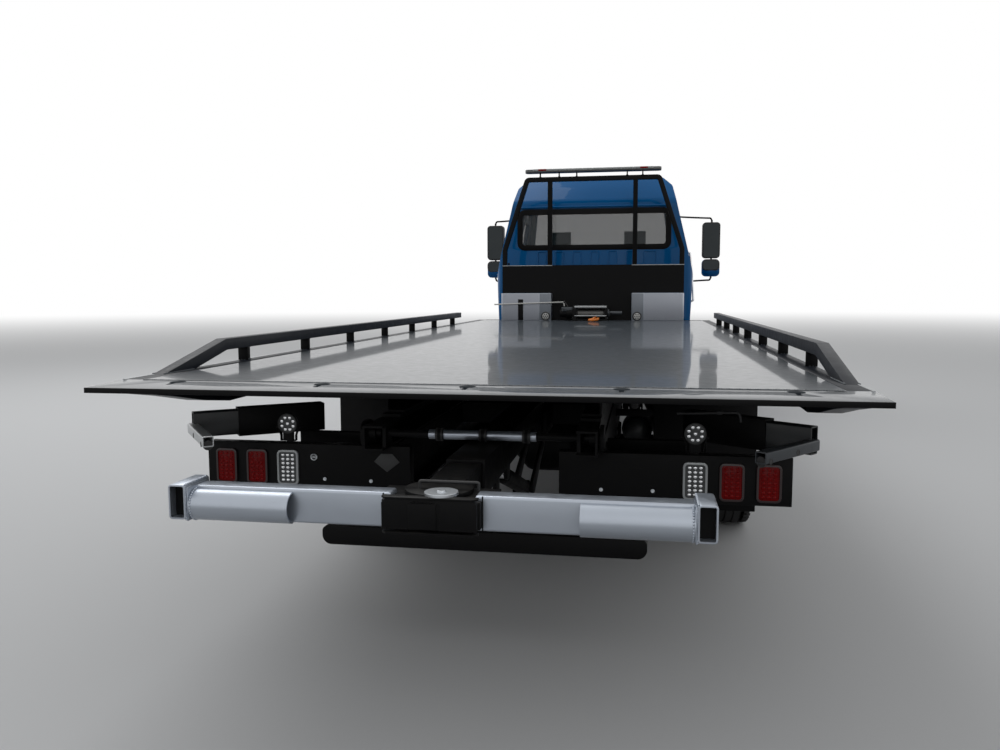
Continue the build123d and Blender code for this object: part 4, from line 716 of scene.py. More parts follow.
def addPanel(mesh, middle, across, up, size, corner=0.0, edge=0.0, band=0.0, recess=None, steps=4):
    # a plate with rounded corners: size is its width, height and thickness, and it stands out
    # of its middle along across x up; with a band its face is sunk by recess, or cut right
    # through where recess is None
    width, height, depth = size
    part = bmesh.new()
    bmesh.ops.create_grid(part, x_segments=1, y_segments=1, size=0.5)
    bmesh.ops.scale(part, vec=(width, height, 1), verts=part.verts)
    if corner > 0:
        bmesh.ops.bevel(
            part, geom=part.verts[:], offset=corner, offset_type="OFFSET", affect="VERTICES", segments=steps,
            profile=0.5, material=-1,
        )
    made = bmesh.ops.extrude_face_region(part, geom=part.faces[:], use_keep_orig=True)
    moved = [item for item in made["geom"] if isinstance(item, bmesh.types.BMVert)]
    bmesh.ops.translate(part, vec=(0, 0, depth), verts=moved)
    bmesh.ops.recalc_face_normals(part, faces=part.faces)
    level = lambda face: face.calc_center_median().z
    front, back = max(part.faces, key=level), min(part.faces, key=level)
    if edge > 0:
        roundEdges(part, list(front.edges), edge)
        front = max(part.faces, key=level)
    if band > 0:
        bmesh.ops.inset_region(part, faces=[front], thickness=band - edge, use_even_offset=True)
        if recess is None:
            bmesh.ops.inset_region(part, faces=[back], thickness=band, use_even_offset=True)
            loops = list(front.edges) + list(back.edges)
            bmesh.ops.delete(part, geom=[front, back], context="FACES_ONLY")
            bmesh.ops.bridge_loops(part, edges=loops)
        else:
            made = bmesh.ops.extrude_discrete_faces(part, faces=[front])["faces"]
            bmesh.ops.translate(part, vec=(0, 0, -recess), verts=list(made[0].verts))
    across, up = Vector(across).normalized(), Vector(up).normalized()
    place = Matrix((across, up, across.cross(up))).transposed().to_4x4()
    bmesh.ops.transform(part, matrix=Matrix.Translation(Vector(middle)) @ place, verts=part.verts)
    joinMesh(mesh, part)


def addBall(mesh, place, radii, across=8, rings=6):
    made = bmesh.ops.create_uvsphere(mesh, u_segments=across, v_segments=rings, radius=1.0)
    bmesh.ops.scale(mesh, vec=Vector(radii), verts=made["verts"])
    bmesh.ops.translate(mesh, vec=Vector(place), verts=made["verts"])


def addWeld(mesh, start, end, radius=0.004, pitch=0.006):
    # a bead of overlapping scales
    start, end = Vector(start), Vector(end)
    count = max(2, round((end - start).length / pitch))
    for index in range(count + 1):
        swell = 1 + 0.18 * math.sin(index * 2.4)
        addBall(mesh, start.lerp(end, index / count), (radius * swell,) * 3, 6, 4)


def addPipe(mesh, points, radius, order=3, sides=5, resolution=10, cyclic=False):
    # a bent pipe or hose along the points
    curve = bpy.data.curves.new("pipeLine", "CURVE")
    curve.dimensions = "3D"
    curve.bevel_depth = radius
    curve.bevel_resolution = sides
    curve.use_fill_caps = True
    spline = curve.splines.new("NURBS")
    spline.points.add(len(points) - 1)
    for point, place in zip(spline.points, points):
        point.co = (*place, 1.0)
    spline.order_u = order
    spline.use_endpoint_u = not cyclic
    spline.use_cyclic_u = cyclic
    spline.resolution_u = resolution
    holder = bpy.data.objects.new("pipeLine", curve)
    bpy.context.scene.collection.objects.link(holder)
    bpy.context.view_layer.update()
    shape = bpy.data.meshes.new_from_object(holder.evaluated_get(bpy.context.evaluated_depsgraph_get()))
    mesh.from_mesh(shape)
    bpy.data.objects.remove(holder)
    bpy.data.meshes.remove(shape)
    bpy.data.curves.remove(curve)


def addBolt(mesh, place, axis, size=0.012, height=0.008):
    # a hexagon head on a washer, standing off a surface along its axis
    place, axis = Vector(place), Vector(axis).normalized()
    addRod(mesh, place - axis * 0.001, place + axis * height * 0.25, size * 0.85, 20)
    addRod(mesh, place + axis * height * 0.2, place + axis * height, size * 0.6, 6)


def makePiece(mesh, name, body, slot, finish=None, smooth=35.0, replaced=()):
    # turns the finished bmesh into an object that rides on its body
    bmesh.ops.remove_doubles(mesh, verts=mesh.verts, dist=0.00002)
    bmesh.ops.recalc_face_normals(mesh, faces=mesh.faces)
    for face in mesh.faces:
        face.smooth = True
    limit = math.radians(smooth)
    for edge in mesh.edges:
        if len(edge.link_faces) == 2 and edge.calc_face_angle(0.0) > limit:
            edge.smooth = False
    data = bpy.data.meshes.new(name)
    mesh.to_mesh(data)
    mesh.free()
    piece = bpy.data.objects.new(name, data)
    bpy.context.scene.collection.objects.link(piece)
    data.materials.append(materials[finish or slot])
    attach(piece, body)
    if replaced:
        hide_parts(*replaced)
    return piece


def dressNode(name, width=0.0, limit=32.0, finish=None, cutAbove=None):
    # a merged copy of a CAD node, with smooth curves and softened edges, that stands for it
    mesh = bmesh.new()
    mesh.from_mesh(nodes[name].data)
    bmesh.ops.remove_doubles(mesh, verts=mesh.verts, dist=0.00001)
    bmesh.ops.dissolve_limit(
        mesh, angle_limit=math.radians(0.6), use_dissolve_boundaries=False, verts=mesh.verts,
        edges=mesh.edges, delimit={"NORMAL"},
    )
    if cutAbove is not None:
        bmesh.ops.bisect_plane(
            mesh, geom=mesh.verts[:] + mesh.edges[:] + mesh.faces[:], plane_co=(0, 0, cutAbove),
            plane_no=(0, 0, 1), clear_outer=True,
        )
        bmesh.ops.holes_fill(mesh, edges=[edge for edge in mesh.edges if edge.is_boundary], sides=0)
    angle = math.radians(limit)
    if width > 0:
        sharp = [
            edge for edge in mesh.edges if len(edge.link_faces) == 2 and edge.calc_face_angle(0.0) > angle
        ]
        roundEdges(mesh, sharp, width)
    for face in mesh.faces:
        face.smooth = True
    for edge in mesh.edges:
        if len(edge.link_faces) == 2 and edge.calc_face_angle(0.0) > angle:
            edge.smooth = False
    data = bpy.data.meshes.new(name + "Dressed")
    mesh.to_mesh(data)
    mesh.free()
    piece = bpy.data.objects.new(name + "Dressed", data)
    bpy.context.scene.collection.objects.link(piece)
    data.materials.append(materials[finish or nodeSlot[name]])
    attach(piece, nodeBody[name])
    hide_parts(name)
    return piece


buildCamera()
buildRoom()
for name, node in nodes.items():
    node.data.materials.clear()
    node.data.materials.append(materials[nodeSlot[name]])


# Copies with softened edges: node and edge width in metres
softened = {
    "cab_shell": 0.002, "door_left": 0.002, "door_right": 0.002, "hood": 0.002, "front_bumper": 0.002,
    "arm_holders": 0.001, "lamp_panels": 0.0015, "tail_plate": 0.001, "side_channels": 0.0015,
    "side_rails": 0.003, "rail_stakes": 0.0015, "headboard_frame": 0.002, "headboard_boxes": 0.001,
    "lift_slide": 0.001, "lift_boom": 0.002, "winch_drum": 0.001, "toolboxes": 0.004, "fuel_tanks": 0.003,
    "chassis_frame": 0.001, "dashboard": 0.003, "front_axle": 0.002, "rear_axle": 0.0, "drivetrain": 0.004,
    "tilt_frame": 0.001, "grille": 0.001, "front_rim_left": 0.001, "front_rim_right": 0.001,
    "rear_rims_left": 0.001, "rear_rims_right": 0.001, "knuckle_left": 0.001, "knuckle_right": 0.001,
    "tilt_barrels": 0.001, "tilt_rods": 0.001, "lift_barrel": 0.001, "lift_rod": 0.001,
    "frame_brackets": 0.001,
}
# the slide is cut off under the crossbar's plated cap
cutHeights = {"lift_slide": 0.8537}
for name, width in softened.items():
    dressNode(name, width, cutAbove=cutHeights.get(name))
print("stage:", len(softened), "CAD nodes dressed")


# Rear lamps: lens bodies with their cells, on both lamp panels
panelLow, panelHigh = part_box("lamp_panels")
rearLamps = {
    "size": (0.086, 0.136, 0.0085), "corner": 0.018, "band": 0.008, "height": 0.748,
    "redPlaces": (1.016, 0.890), "clearPlaces": (0.764,), "columns": 3, "rows": 7, "pitch": (0.0195, 0.0162),
    "redCell": (0.0075, 0.0022, 0.0062), "clearCell": (0.0078, 0.004, 0.0064),
}


def lampCells(mesh, x, y, radii):
    for column in range(rearLamps["columns"]):
        for row in range(rearLamps["rows"]):
            across = (column - (rearLamps["columns"] - 1) / 2) * rearLamps["pitch"][0]
            up = (row - (rearLamps["rows"] - 1) / 2) * rearLamps["pitch"][1]
            addBall(mesh, (x + across, y, rearLamps["height"] + up), radii, 10, 6)


def buildRearLamps():
    redBodies, redRims, redCells, rims, backs, clearCells = newMeshes(6)
    faceY = panelLow.y
    width, height, depth = rearLamps["size"]
    kinds = (
        {"places": "redPlaces", "cell": "redCell", "inset": 0.006, "sunk": 0.003, "edge": 0.001,
         "meshes": (redRims, redBodies, redCells)},
        {"places": "clearPlaces", "cell": "clearCell", "inset": 0.005, "sunk": 0.004, "edge": 0.0,
         "meshes": (rims, backs, clearCells)},
    )
    for side in sides:
        for kind in kinds:
            ring, body, cells = kind["meshes"]
            inset, sunk, corner = kind["inset"], kind["sunk"], rearLamps["corner"]
            inner = (width - 2 * inset, height - 2 * inset, depth - sunk)
            for x in rearLamps[kind["places"]]:
                middle = (side * x, faceY, rearLamps["height"])
                addPanel(ring, middle, rightward, upward, rearLamps["size"], corner, 0.002, rearLamps["band"])
                addPanel(body, middle, rightward, upward, inner, corner - inset, kind["edge"])
                lampCells(cells, side * x, faceY - depth + sunk, rearLamps[kind["cell"]])
    makePiece(redBodies, "redLampBodies", "chassis", "red_lens", replaced=("red_lamps",))
    makePiece(redRims, "redLampRims", "chassis", "red_lens", "redRim")
    makePiece(redCells, "redLampCells", "chassis", "red_lens", smooth=80)
    makePiece(rims, "clearLampRims", "chassis", "clear_lens", "lampRim", replaced=("clear_lamps",))
    makePiece(backs, "clearLampBacks", "chassis", "clear_lens", "lampBack")
    makePiece(clearCells, "clearLampCells", "chassis", "clear_lens", "lampChrome", smooth=80)


buildRearLamps()


# Round work lamps on their brackets, above the lamp panels
workLamps = {
    "across": 0.762, "height": 0.918, "rear": panelLow.y - 0.0055, "radius": 0.038, "depth": 0.026,
    "ring": 0.0245, "cells": 8, "cell": 0.0068,
}


def buildWorkLamps():
    housings, faces, cells, brackets = newMeshes(4)
    radius = workLamps["radius"]
    for side in sides:
        centre = Vector((side * workLamps["across"], workLamps["rear"], workLamps["height"]))
        outline = (
            (0.003, radius - 0.004), (0.0, radius - 0.003), (0.0, radius), (0.012, radius),
            (0.013, radius - 0.003), (0.017, radius - 0.003), (0.018, radius - 0.001),
            (0.021, radius - 0.001), (0.022, radius - 0.004), (workLamps["depth"], radius - 0.012),
            (workLamps["depth"], 0.0001),
        )
        addSpun(housings, centre, forward, outline, 40, False)
        addSpun(faces, centre, forward, ((0.0035, radius - 0.003), (0.0028, 0.0001)), 40, False)
        for index in range(workLamps["cells"] + 1):
            turn = (index + 0.5) * math.tau / workLamps["cells"]
            out = workLamps["ring"] if index < workLamps["cells"] else 0.0
            place = centre + Vector((math.cos(turn) * out, 0.003, math.sin(turn) * out))
            addBall(cells, place, (workLamps["cell"], 0.0028, workLamps["cell"]), 12, 6)
        for edge in sides:
            addBlock(
                brackets, centre + Vector((edge * 0.030 - 0.0015, 0.004, -0.064)),
                centre + Vector((edge * 0.030 + 0.0015, 0.022, -0.046)), 0.0008,
            )
            addPlate(
                brackets, [centre + Vector(corner) for corner in (
                    (edge * 0.0285, 0.004, -0.046), (edge * 0.0285, 0.022, -0.046),
                    (edge * 0.0395, 0.022, -0.014), (edge * 0.0395, 0.004, -0.014),
                )], (edge * 0.003, 0, 0),
            )
            addBolt(brackets, centre + Vector((edge * 0.042, 0.013, -0.014)), (edge, 0, 0), 0.007, 0.006)
        addBlock(
            brackets, centre + Vector((-0.0315, 0.004, -0.067)), centre + Vector((0.0315, 0.022, -0.064)),
            0.0008,
        )
        addBlock(
            brackets, (centre.x - 0.02, centre.y + 0.004, panelHigh.z - 0.012),
            centre + Vector((0.02, 0.010, -0.066)), 0.001,
        )
    makePiece(housings, "workLampHousings", "chassis", "clear_lens", "black_plastic")
    makePiece(faces, "workLampFaces", "chassis", "clear_lens", "lampBack")
    makePiece(cells, "workLampCells", "chassis", "clear_lens", "lampChrome", smooth=80)
    makePiece(brackets, "workLampBrackets", "chassis", "frame_paint")


buildWorkLamps()
print("stage: rear lamps made")


# Small fittings of the lamp panels
panelFittings = {
    "latch": (-0.659, 0.791), "bolts": ((-0.617, 0.707), (-0.433, 0.705), (0.617, 0.707), (0.433, 0.705)),
    "bareSpot": (-0.369, 0.777), "bareHalf": (0.05, 0.035),
    "leverAt": (-4.40, 0.98), "leverFrom": 0.70, "leverTo": 0.921,
}


def buildPanelFittings():
    zincParts, dark, plate = newMeshes(3)
    faceY = panelLow.y
    x, z = panelFittings["latch"]
    addSpun(zincParts, (x, faceY, z), backward, (
        (-0.001, 0.0095), (0.004, 0.0095), (0.005, 0.0115), (0.003, 0.0138), (-0.001, 0.0138)), 28)
    addBlock(
        zincParts, (x - 0.0075, faceY - 0.0035, z - 0.0015), (x + 0.0075, faceY + 0.001, z + 0.0015),
        0.0006,
    )
    addRod(dark, (x, faceY + 0.001, z), (x, faceY - 0.0015, z), 0.0085, 24)
    for x, z in panelFittings["bolts"]:
        addBolt(zincParts, (x, faceY, z), backward, 0.008, 0.008)
    x, z = panelFittings["bareSpot"]
    halfWidth, halfHeight = panelFittings["bareHalf"]
    addPlate(plate, (
        (x - halfWidth, faceY, z + 0.004), (x, faceY, z - halfHeight), (x + halfWidth, faceY, z + 0.004),
        (x + 0.022, faceY, z + halfHeight), (x - 0.022, faceY, z + halfHeight),
    ), (0, -0.003, 0), 0.0012)
    # T-handled rod that frees the right-hand stowed arm
    y, z = panelFittings["leverAt"]
    start, end = panelFittings["leverFrom"], panelFittings["leverTo"]
    addPipe(dark, (
        (start, y, z - 0.002), (start * 0.6 + end * 0.4, y, z), (end - 0.02, y, z + 0.005),
        (end, y, z + 0.004), (end + 0.003, y, z - 0.03),
    ), 0.0045)
    addRod(dark, (0.84, y, z + 0.004), (0.86, y, z + 0.004), 0.008, 16, edge=0.001)
    makePiece(zincParts, "panelLatch", "chassis", "frame_paint", "zinc")
    makePiece(dark, "panelBolts", "chassis", "frame_paint", "darkWeld")
    makePiece(plate, "barePlate", "chassis", "frame_paint", "barePlateGrey")


buildPanelFittings()


# Crossbar: two flat tubes with half-round covers, a black centre box and open receivers
barLow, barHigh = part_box("crossbar")
crossbarShape = {
    "tubeFrom": 0.141, "coverFrom": 0.415, "receiverFrom": 0.723, "receiverTo": 0.775,
    "rear": barLow.y + 0.001, "tubeRear": barLow.y + 0.051, "front": barLow.y + 0.120, "low": 0.753,
    "high": 0.853, "coverHeight": 0.092, "coverWall": 0.005, "receiverLow": 0.7625, "receiverHigh": 0.864,
    "receiverWall": 0.005,
}


def addHalfPipe(mesh, xFrom, xTo, faceY, low, radius, wall, steps=22):
    # half a pipe along the bar, bulging to the rear, its two ends open
    part = bmesh.new()
    middle = Vector((0, faceY, low + radius))
    corners = [
        part.verts.new((x, faceY, low + radius + out)) for x, out in (
            (xFrom, radius), (xTo, radius), (xTo, radius - wall), (xFrom, radius - wall),
        )
    ]
    edges = [part.edges.new(pair) for pair in zip(corners, corners[1:] + corners[:1])]
    bmesh.ops.spin(part, geom=corners + edges, cent=middle, axis=(1, 0, 0), angle=math.pi, steps=steps)
    bmesh.ops.holes_fill(part, edges=[edge for edge in part.edges if edge.is_boundary], sides=4)
    joinMesh(mesh, part)


def buildCrossbar():
    shape = crossbarShape
    steel, beads, black = newMeshes(3)
    rear, tubeRear, front = shape["rear"], shape["tubeRear"], shape["front"]
    low, high, half = shape["low"], shape["high"], shape["tubeFrom"]
    near, far = shape["receiverFrom"], shape["receiverTo"]
    bottom, top, wall = shape["receiverLow"], shape["receiverHigh"], shape["receiverWall"]
    coverRadius = shape["coverHeight"] / 2
    for side in sides:
        addBlock(steel, (side * (half - 0.02), tubeRear, low), (side * near, front, high), 0.008, 4)
        cover = sorted((side * shape["coverFrom"], side * (near - 0.004)))
        addHalfPipe(steel, cover[0], cover[1], tubeRear, low - 0.001, coverRadius, shape["coverWall"])
        addBlock(steel, (side * (near - 0.005), rear + 0.006, low + 0.004),
                 (side * near, front + 0.004, high + 0.003), 0.0015)
        # receiver: an open box through the bar, welded all round; its hollow is filled with a black block as
        # painted shade
        middle = (side * (near + far) / 2, front + 0.020, (bottom + top) / 2)
        size = (far - near, top - bottom, front + 0.020 - rear)
        addPanel(steel, middle, rightward, upward, size, 0.009, 0.0008, wall)
        inset = wall + 0.0005
        addBlock(black, (side * (near + inset), rear + 0.030, bottom + inset),
                 (side * (far - inset), front, top - inset))
        x = side * (near + 0.001)
        addWeld(beads, (x, rear + 0.006, bottom), (x, front, bottom - 0.001), 0.0035)
        addWeld(beads, (x, rear + 0.006, top), (x, front, top + 0.001), 0.0035)
        addWeld(beads, (x, rear + 0.004, bottom), (x, rear + 0.004, top), 0.003)
        # beads round the cover's outer end
        x = side * (near - 0.010)
        out = coverRadius + 0.0005
        for index in range(18):
            turn = math.pi * (index + 0.5) / 18
            place = (x, tubeRear - math.sin(turn) * out, low + coverRadius + math.cos(turn) * out)
            addBall(beads, place, (0.0034, 0.0034, 0.0034), 6, 4)
        # a bolt on the bar's front, and the plate over the tube's inner end
        end = side * half
        addBolt(black, (side * 0.62, front, 0.803), forward, 0.012, 0.01)
        addBlock(black, (end, tubeRear - 0.001, low + 0.001),
                 (end + side * 0.004, front - 0.004, high - 0.001), 0.001)
    # centre box: a housing with cut upper corners, its plates above and below, and the hub
    rear += 0.0005
    addPlate(black, (
        (-half + 0.006, rear + 0.003, low + 0.010), (half - 0.006, rear + 0.003, low + 0.010),
        (half - 0.006, rear + 0.003, high - 0.016), (half - 0.018, rear + 0.003, high - 0.004),
        (-half + 0.018, rear + 0.003, high - 0.004), (-half + 0.006, rear + 0.003, high - 0.016),
    ), (0, 0.026, 0), 0.0015)
    addBlock(black, (-half, rear + 0.026, 0.7622), (half, rear + 0.075, 0.8398), 0.002)
    addBlock(black, (-0.1715, rear + 0.073, 0.7622), (0.1715, rear + 0.199, 0.8398), 0.002)
    for plateLow in (high - 0.005, low - 0.004):
        addPlate(black, (
            (-half + 0.004, rear + 0.030, plateLow), (-half + 0.004, rear + 0.014, plateLow),
            (-half + 0.018, rear, plateLow), (half - 0.018, rear, plateLow),
            (half - 0.004, rear + 0.014, plateLow), (half - 0.004, rear + 0.030, plateLow),
        ), (0, 0, 0.006), 0.0012)
    addBlock(black, (-0.057, rear, low + 0.012), (0.022, rear + 0.006, high - 0.016), 0.001)
    addWeld(black, (-0.048, rear + 0.002, high - 0.012), (0.012, rear + 0.002, high - 0.012), 0.003)
    addWeld(black, (0.030, rear + 0.004, low + 0.012), (0.030, rear + 0.004, high - 0.016), 0.0025)
    addWeld(black, (-0.128, rear + 0.004, low + 0.011), (-0.064, rear + 0.004, low + 0.011), 0.0028)
    addWeld(black, (0.032, rear + 0.004, low + 0.011), (0.128, rear + 0.004, low + 0.011), 0.0028)
    makePiece(steel, "crossbarSteel", "crossbar", "silver_paint", replaced=("crossbar",))
    makePiece(beads, "crossbarWelds", "crossbar", "silver_paint", smooth=80)
    makePiece(black, "crossbarCentre", "crossbar", "frame_paint", smooth=40)


buildCrossbar()


# Plated cap and the pull hoop on the crossbar's centre
headParts = {
    "capPlace": (0.026, barLow.y + 0.052), "capRadius": 0.048, "capLow": 0.8538, "hoopFrom": -0.055,
    "hoopTo": 0.118, "hoopY": barLow.y + 0.125, "hoopHigh": 0.873, "hoopLow": 0.852, "hoopRadius": 0.005,
}


def buildHeadParts():
    cap, dark = bmesh.new(), bmesh.new()
    x, y = headParts["capPlace"]
    radius, low = headParts["capRadius"], headParts["capLow"]
    addSpun(cap, (x, y, low), upward, (
        (0.0, 0.0001), (0.0, radius - 0.0008), (0.0008, radius), (0.0082, radius), (0.009, radius - 0.0008),
        (0.009, 0.013), (0.0125, 0.0125), (0.013, 0.0118), (0.013, 0.0001)), 56, False)
    start, end, y = headParts["hoopFrom"], headParts["hoopTo"], headParts["hoopY"]
    low, high = headParts["hoopLow"], headParts["hoopHigh"]
    addPipe(dark, (
        (start, y, low), (start, y, high - 0.008), (start, y, high), (start + 0.012, y, high),
        (end - 0.012, y, high), (end, y, high), (end, y, high - 0.008), (end, y, low),
    ), headParts["hoopRadius"])
    makePiece(cap, "crossbarCap", "crossbar", "frame_paint", "zinc")
    makePiece(dark, "headHoop", "lift_slide", "frame_paint", "darkWeld")


buildHeadParts()


# Stowed L-arms: a box tube in its holder, and a square leg with an open end and a pin hole; the dark inside
# of the leg's end and holes is painted shade on black discs
armParts = {
    "corner": (1.165, tailY + 0.455), "end": (0.760, tailY + 0.763), "legEnd": (0.950, tailY + 0.182),
    "low": 0.852, "high": 0.952, "legLow": 0.868, "legSize": 0.040, "width": 0.050, "drop": 0.014,
}


def addTube(mesh, start, end, width, low, high, wall, drop=0.0):
    # a rectangular tube between two places, open at its far end, its near end let down by drop
    start, end = Vector((*start, (low + high) / 2 - drop)), Vector((*end, (low + high) / 2))
    along = (end - start).normalized()
    addPanel(
        mesh, end, upward.cross(-along), upward, (width, high - low, (end - start).length), 0.006, 0.001,
        wall, (end - start).length * 0.5,
    )


def buildArms():
    part = armParts
    for side in sides:
        tube, leg, dark = newMeshes(3)
        corner, end, legEnd = ((side * part[key][0], part[key][1]) for key in ("corner", "end", "legEnd"))
        addTube(tube, corner, end, part["width"] - 0.0006, part["low"] + 0.0003, part["high"] - 0.0003, 0.005)
        addTube(
            leg, legEnd, corner, part["legSize"], part["legLow"], part["legLow"] + part["legSize"], 0.004,
            part["drop"],
        )
        half = part["legSize"] / 2
        middle = part["legLow"] + half
        away = (Vector((*legEnd, middle - part["drop"])) - Vector((*corner, middle))).normalized()
        across = away.cross(upward)
        place = Vector((*legEnd, middle - part["drop"])) - away * 0.001
        # black disc just inside the leg's open end: painted shade in its hollow
        addRod(dark, place - away * 0.004, place - away * 0.002, half - 0.002, 20)
        # pin holes through the leg, each a black disc of painted shade with a dark rim
        for along in (0.028, 0.20):
            hole = place - away * along
            for edge in sides:
                out = across * edge
                addSpun(dark, hole + out * (half + 0.0004), across, (
                    (-0.0005, 0.0085), (0.0004, 0.0085), (0.0004, 0.0105), (-0.0005, 0.0105)), 20)
                addRod(dark, hole + out * (half - 0.002), hole + out * (half + 0.0002), 0.0086, 20)
        shade = "legSilver" if side < 0 else "gunmetal"
        replaced = ("stowed_arms",) if side < 0 else ()
        makePiece(tube, sideName[side] + "ArmTube", "chassis", "silver_paint", "armBlack", replaced=replaced)
        makePiece(leg, sideName[side] + "ArmLeg", "chassis", "silver_paint", shade)
        makePiece(dark, sideName[side] + "ArmHoleShades", "chassis", "silver_paint", "black_plastic")


buildArms()


# Silver sleeves and black rollers on the tilt hinge's shaft
hingeShaft = {
    "place": (-4.508, 0.897), "sleeveRadius": 0.0178, "rollerRadius": 0.0245,
    "sleeves": ((-0.196, -0.170), (-0.141, -0.007), (0.021, 0.152), (0.180, 0.202)),
    "rollers": ((-0.168, -0.142), (-0.006, 0.020), (0.153, 0.179)),
}


def buildHingeShaft():
    silver, dark = bmesh.new(), bmesh.new()
    y, z = hingeShaft["place"]
    for start, end in hingeShaft["sleeves"]:
        addRod(silver, (start, y, z), (end, y, z), hingeShaft["sleeveRadius"], 32, edge=0.0015)
    for start, end in hingeShaft["rollers"]:
        radius = hingeShaft["rollerRadius"]
        middle = (start + end) / 2
        addSpun(dark, (middle, y, z), rightward, (
            (-0.0135, 0.015), (-0.0135, radius), (-0.006, radius), (-0.004, radius - 0.004),
            (0.004, radius - 0.004), (0.006, radius), (0.0135, radius), (0.0135, 0.015),
        ), 36)
    makePiece(silver, "hingeSleeves", "tilt_frame", "frame_paint", "silver_paint")
    makePiece(dark, "hingeRollers", "tilt_frame", "frame_paint", "black_plastic")


buildHingeShaft()
print("stage: crossbar and tilt hinge made")


# Deck: dark tail edge, the weld across its fold, welded stakes and edge markers
deckParts = {
    "foldY": tailY + 0.210,
    "tailHigh": deckTop - 0.008,
    "tailLow": deckTop - 0.025,
    "weldHalf": 1.205,
    "stakeFirst": tailY + 1.130,
    "stakePitch": 0.725,
    "stakes": 7,
    "stakeX": deckHalf - 0.025,
    "markers": (tailY + 1.0, tailY + 2.7, tailY + 4.4, tailY + 6.2),
    "markerHeight": 1.045,
    "railFront": tailY + 5.750,
    "railLow": 1.166,
    "railHigh": 1.214,
    "railFoot": (tailY + 0.405, tailY + 0.62),
}


def buildDeckParts():
    edges, beads, markers, caps, flanges, lips = newMeshes(6)
    part = deckParts
    low, high = part["railLow"], part["railHigh"]
    addBlock(
        edges, (-deckHalf, tailY - 0.003, part["tailLow"]),
        (deckHalf, tailY + 0.004, part["tailHigh"] + 0.0012), 0.001,
    )
    addBlock(
        edges, (-part["weldHalf"], part["foldY"] - 0.011, deckTop - 0.0025),
        (part["weldHalf"], part["foldY"] - 0.007, deckTop - 0.0002),
    )
    addBlock(
        edges, (-part["weldHalf"], deckFrontY - 0.075, deckTop - 0.003),
        (part["weldHalf"], deckFrontY - 0.004, deckTop + 0.0015), 0.0006,
    )
    for index in range(300):
        x = -part["weldHalf"] + index * part["weldHalf"] / 150
        swell = 1 + 0.15 * math.sin(index * 1.7) + (0.25 if x > 0 else 0.0)
        addBall(beads, (x, part["foldY"], deckTop + 0.0003), (0.0058, 0.0052 * swell, 0.0021 * swell), 6, 4)
    for side in sides:
        x = side * part["stakeX"]
        for index in range(part["stakes"]):
            y = part["stakeFirst"] + index * part["stakePitch"]
            addBlock(
                flanges, (x - 0.0245, y - 0.031, deckTop - 0.0005), (x + 0.0245, y - 0.025, low - 0.0005),
                0.001,
            )
            for edge in sides:
                for z, radius in ((deckTop + 0.001, 0.004), (low - 0.0018, 0.0035)):
                    addWeld(
                        beads, (x + edge * 0.007, y - 0.029, z), (x + edge * 0.007, y + 0.029, z), radius,
                    )
        addBlock(lips, (side * (deckHalf - 0.009), tailY + 0.215, deckTop - 0.004),
                 (side * (deckHalf + 0.0004), deckFrontY - 0.002, deckTop + 0.0012), 0.0008)
        # closing plates on the rails' front ends and welds at their feet
        front = part["railFront"]
        addBlock(caps, (side * (deckHalf - 0.049), front - 0.001, low),
                 (side * (deckHalf - 0.001), front + 0.004, high), 0.001)
        for edge in (0.001, 0.049):
            foot, end = ((side * (deckHalf - edge), y, deckTop + 0.001) for y in part["railFoot"])
            addWeld(beads, foot, end, 0.004)
        for y in part["markers"]:
            addPanel(
                markers, (side * (deckHalf - 0.0005), y, part["markerHeight"]), (0, side, 0), upward,
                (0.095, 0.034, 0.014), 0.008, 0.003,
            )
    makePiece(edges, "deckEdges", "deck", "deck_paint", "frame_paint")
    makePiece(beads, "deckWelds", "deck", "deck_paint", smooth=80)
    makePiece(caps, "railCaps", "deck", "rail_paint")
    makePiece(flanges, "stakeFlanges", "deck", "frame_paint")
    makePiece(lips, "deckLips", "deck", "rail_paint", "lampRim")
    makePiece(markers, "deckMarkers", "deck", "red_lens", "amber_lens")


buildDeckParts()


# Headboard: painted shade on the folds of the boxes, round lights, straps, painted highlights along the panel
# edges and the lever on the left box
boardParts = {
    "boxRear": tailY + 6.790, "panelRear": tailY + 6.874, "boxInner": 0.444, "boxOuter": 1.010,
    "boxHigh": 1.406, "fold": 0.575, "lightX": 0.506, "lightZ": 1.150, "ring": 0.050, "lens": 0.036,
    "cells": 6, "cellRing": 0.023, "panelX": (0.442, 1.010), "panelHigh": 1.7195,
}


